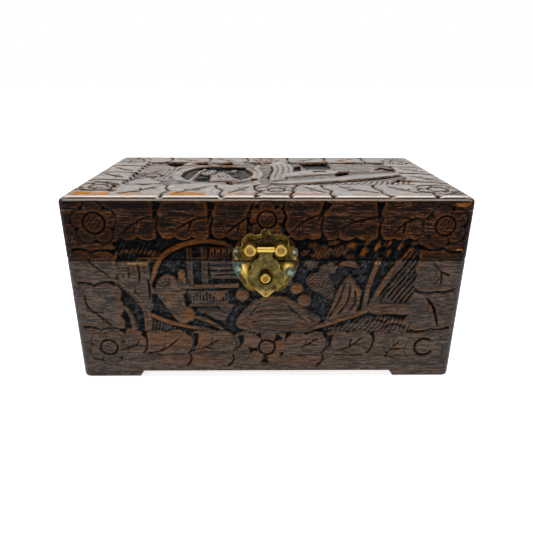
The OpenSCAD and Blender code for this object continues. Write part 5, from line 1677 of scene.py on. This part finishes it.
for node, title, body, middleShade in (
        ("latch_left_post", "leftPost", "lid", studs["postShade"]),
        ("latch_right_post", "rightPost", "lid", studs["postShade"]),
        ("latch_peg", "catchPeg", "case", studs["pegShade"])):
    low, high = cornersOf(node)
    x, z, radius = (low[0] + high[0]) / 2, (low[2] + high[2]) / 2, (high[0] - low[0]) / 2
    stud = turned(title, [(x, z, studProfile(radius, box["front"] - low[1]))])
    finishBrass(stud, node, body, studBrass, studPaint(x, z, radius, middleShade))

# Where the nails of each plate are, as u and v, and the radius of their heads and shanks, in millimetres
nails = {
    "latch_upper_nails": {"title": "upperNails", "places": [(-21.6, 8.4), (21.4, 7.4)], "head": 1.6,
                          "body": "lid", "material": nailSteel, "slot": "nail_steel"},
    "latch_lower_nails": {"title": "lowerNails", "places": [(-20.4, -5.6), (18.4, -8.8)], "head": 2.8,
                          "body": "case", "material": nailGreen, "slot": "tarnished_brass"},
}
nailShank = 0.75


def nailProfile(radius, height):
    # Shank, then a low dome: a quarter of an ellipse from the rim to the middle
    t = np.radians(np.linspace(0, 88, 9))
    dome = np.stack([radius * np.cos(t), latch["sheet"] + height * np.sin(t)], -1)
    line = np.vstack([[[nailShank, -2.0], [nailShank, latch["sheet"]]], dome])
    return np.stack([line[:, 0], box["front"] - line[:, 1]], -1)


def nailPaint(u, v):
    # Clean all over and a little rubbed
    return u * 0, u * 0 + 0.1, u * 0


for node, spec in nails.items():
    height = box["front"] - cornersOf(node)[0][1] - latch["sheet"]
    line = nailProfile(spec["head"], height)
    pair = turned(spec["title"], [(latch["x"] + u, latch["z"] + v, line) for u, v in spec["places"]], 32)
    finishBrass(pair, node, spec["body"], spec["material"], nailPaint)
print("latch made")

for name, thing in nodes.items():
    if name.startswith("hinge_") or name == "latch_rod":
        thing.data.materials.clear()
        thing.data.materials.append(studBrass if name == "latch_rod" else hingeBrass)

studio = {
    "floorColour": "#f4f4f4",
    "floorLift": 0.8,  # the floor's own light, as the camera sees it
    "floorReach": 9000,  # half its width, in millimetres
    "room": 0.1,  # how bright the dim room in front is
    "sweep": 0.5,  # and the white sweep behind
    # each lamp's place and target, its size in metres and its power in watts
    "lamps": {
        "overhead": ((0, -0.11, 1.25), (0, -0.09, 0.15), (1.7, 0.36), 9),
        "rearSoftbox": ((0.0, 1.3, 0.75), (0, 0.05, 0.1), (1.6, 0.7), 7),
        "frontFill": ((-0.5, -1.3, 0.9), (0, 0, 0.06), (0.9, 0.7), 4.2),
    },
    # the camera is pitched down and turned a little to the right, with a slight roll, in degrees
    "pitch": 21.86,
    "yaw": 0.70,
    "roll": 0.23,
    "stand": (-4.74, -333, 231.1),  # millimetres from the middle of the box's front, on the floor
    "lens": 32.46,  # on a sensor 36 mm wide
}


def makeFloor():
    # Painted paper, matt white; what the camera sees of it, straight or mirrored, is lifted to white
    material, add, _ = newMaterial("paintedPaperFloor")
    rays = add("LightPath")
    mirrored = add("Math", {0: (rays, "Is Glossy Ray"), 1: (rays, "Is Transmission Ray")},
                   operation="MAXIMUM")
    seen = add("Math", {0: (rays, "Is Camera Ray"), 1: mirrored}, operation="MAXIMUM")
    lift = add("Math", {0: seen, 1: studio["floorLift"]}, operation="MULTIPLY")
    add("OutputMaterial", {"Surface": add("BsdfPrincipled", {
        "Base Color": studio["floorColour"], "Roughness": 0.9, "Emission Color": "#ffffff",
        "Emission Strength": lift})})
    reach = studio["floorReach"]
    points = [(-reach, -reach, 0), (reach, -reach, 0), (reach, reach, 0), (-reach, reach, 0)]
    floor = newObject("floor", points, [(0, 1, 2, 3)])
    floor.data.materials.append(material)


def makeRoom():
    # The sweep behind the object is white and the room in front of it is dim
    world = bpy.data.worlds.new("studio")
    bpy.context.scene.world = world
    world.use_nodes = True
    world.node_tree.nodes.clear()
    add = partial(addNode, world.node_tree)
    rays = add("LightPath")
    direction = add("SeparateXYZ", {"Vector": (add("TexCoord"), "Generated")})
    room = add("MapRange", {"Value": (direction, "Y"), "From Min": -0.5, "From Max": 0.5,
                            "To Min": studio["room"], "To Max": studio["sweep"]})
    seen = add("Math", {0: (rays, "Is Camera Ray"), 1: (rays, "Is Transmission Ray")}, operation="MAXIMUM")
    strength = add("Math", {0: room, 1: seen}, operation="MAXIMUM")
    background = add("Background", {"Color": "#ffffff", "Strength": strength})
    add("OutputWorld", {"Surface": background})


def addLamp(name, place, target, size, power):
    # A flat lamp, turned to face its target
    lamp = bpy.data.lights.new(name, "AREA")
    lamp.shape, lamp.size, lamp.size_y = "RECTANGLE", size[0], size[1]
    lamp.energy = power
    holder = bpy.data.objects.new(name, lamp)
    holder.location = place
    holder.rotation_euler = (Vector(target) - Vector(place)).to_track_quat("-Z", "Y").to_euler()
    bpy.context.collection.objects.link(holder)


def makeCamera():
    # Looks along (sin yaw cos pitch, cos yaw cos pitch, -sin pitch), and rolls about that line
    pitch, yaw, roll = (np.radians(studio[key]) for key in ("pitch", "yaw", "roll"))
    ahead = Vector((np.sin(yaw) * np.cos(pitch), np.cos(yaw) * np.cos(pitch), -np.sin(pitch)))
    right = ahead.cross(Vector((0, 0, 1))).normalized()
    up = right.cross(ahead)
    right, up = right * np.cos(roll) + up * np.sin(roll), up * np.cos(roll) - right * np.sin(roll)
    camera = bpy.data.objects.new("camera", bpy.data.cameras.new("camera"))
    camera.matrix_world = Matrix((right, up, -ahead)).transposed().to_4x4()
    x, y, z = studio["stand"]
    camera.location = Vector((x, box["front"] + y, z)) * mm
    camera.data.sensor_width, camera.data.lens = 36, studio["lens"]
    camera.data.clip_start = 0.02
    bpy.context.collection.objects.link(camera)
    bpy.context.scene.camera = camera


makeFloor()
makeRoom()
for name, (place, target, size, power) in studio["lamps"].items():
    addLamp(name, place, target, size, power)
makeCamera()
bpy.context.scene.view_settings.view_transform = "Standard"
print("studio set")
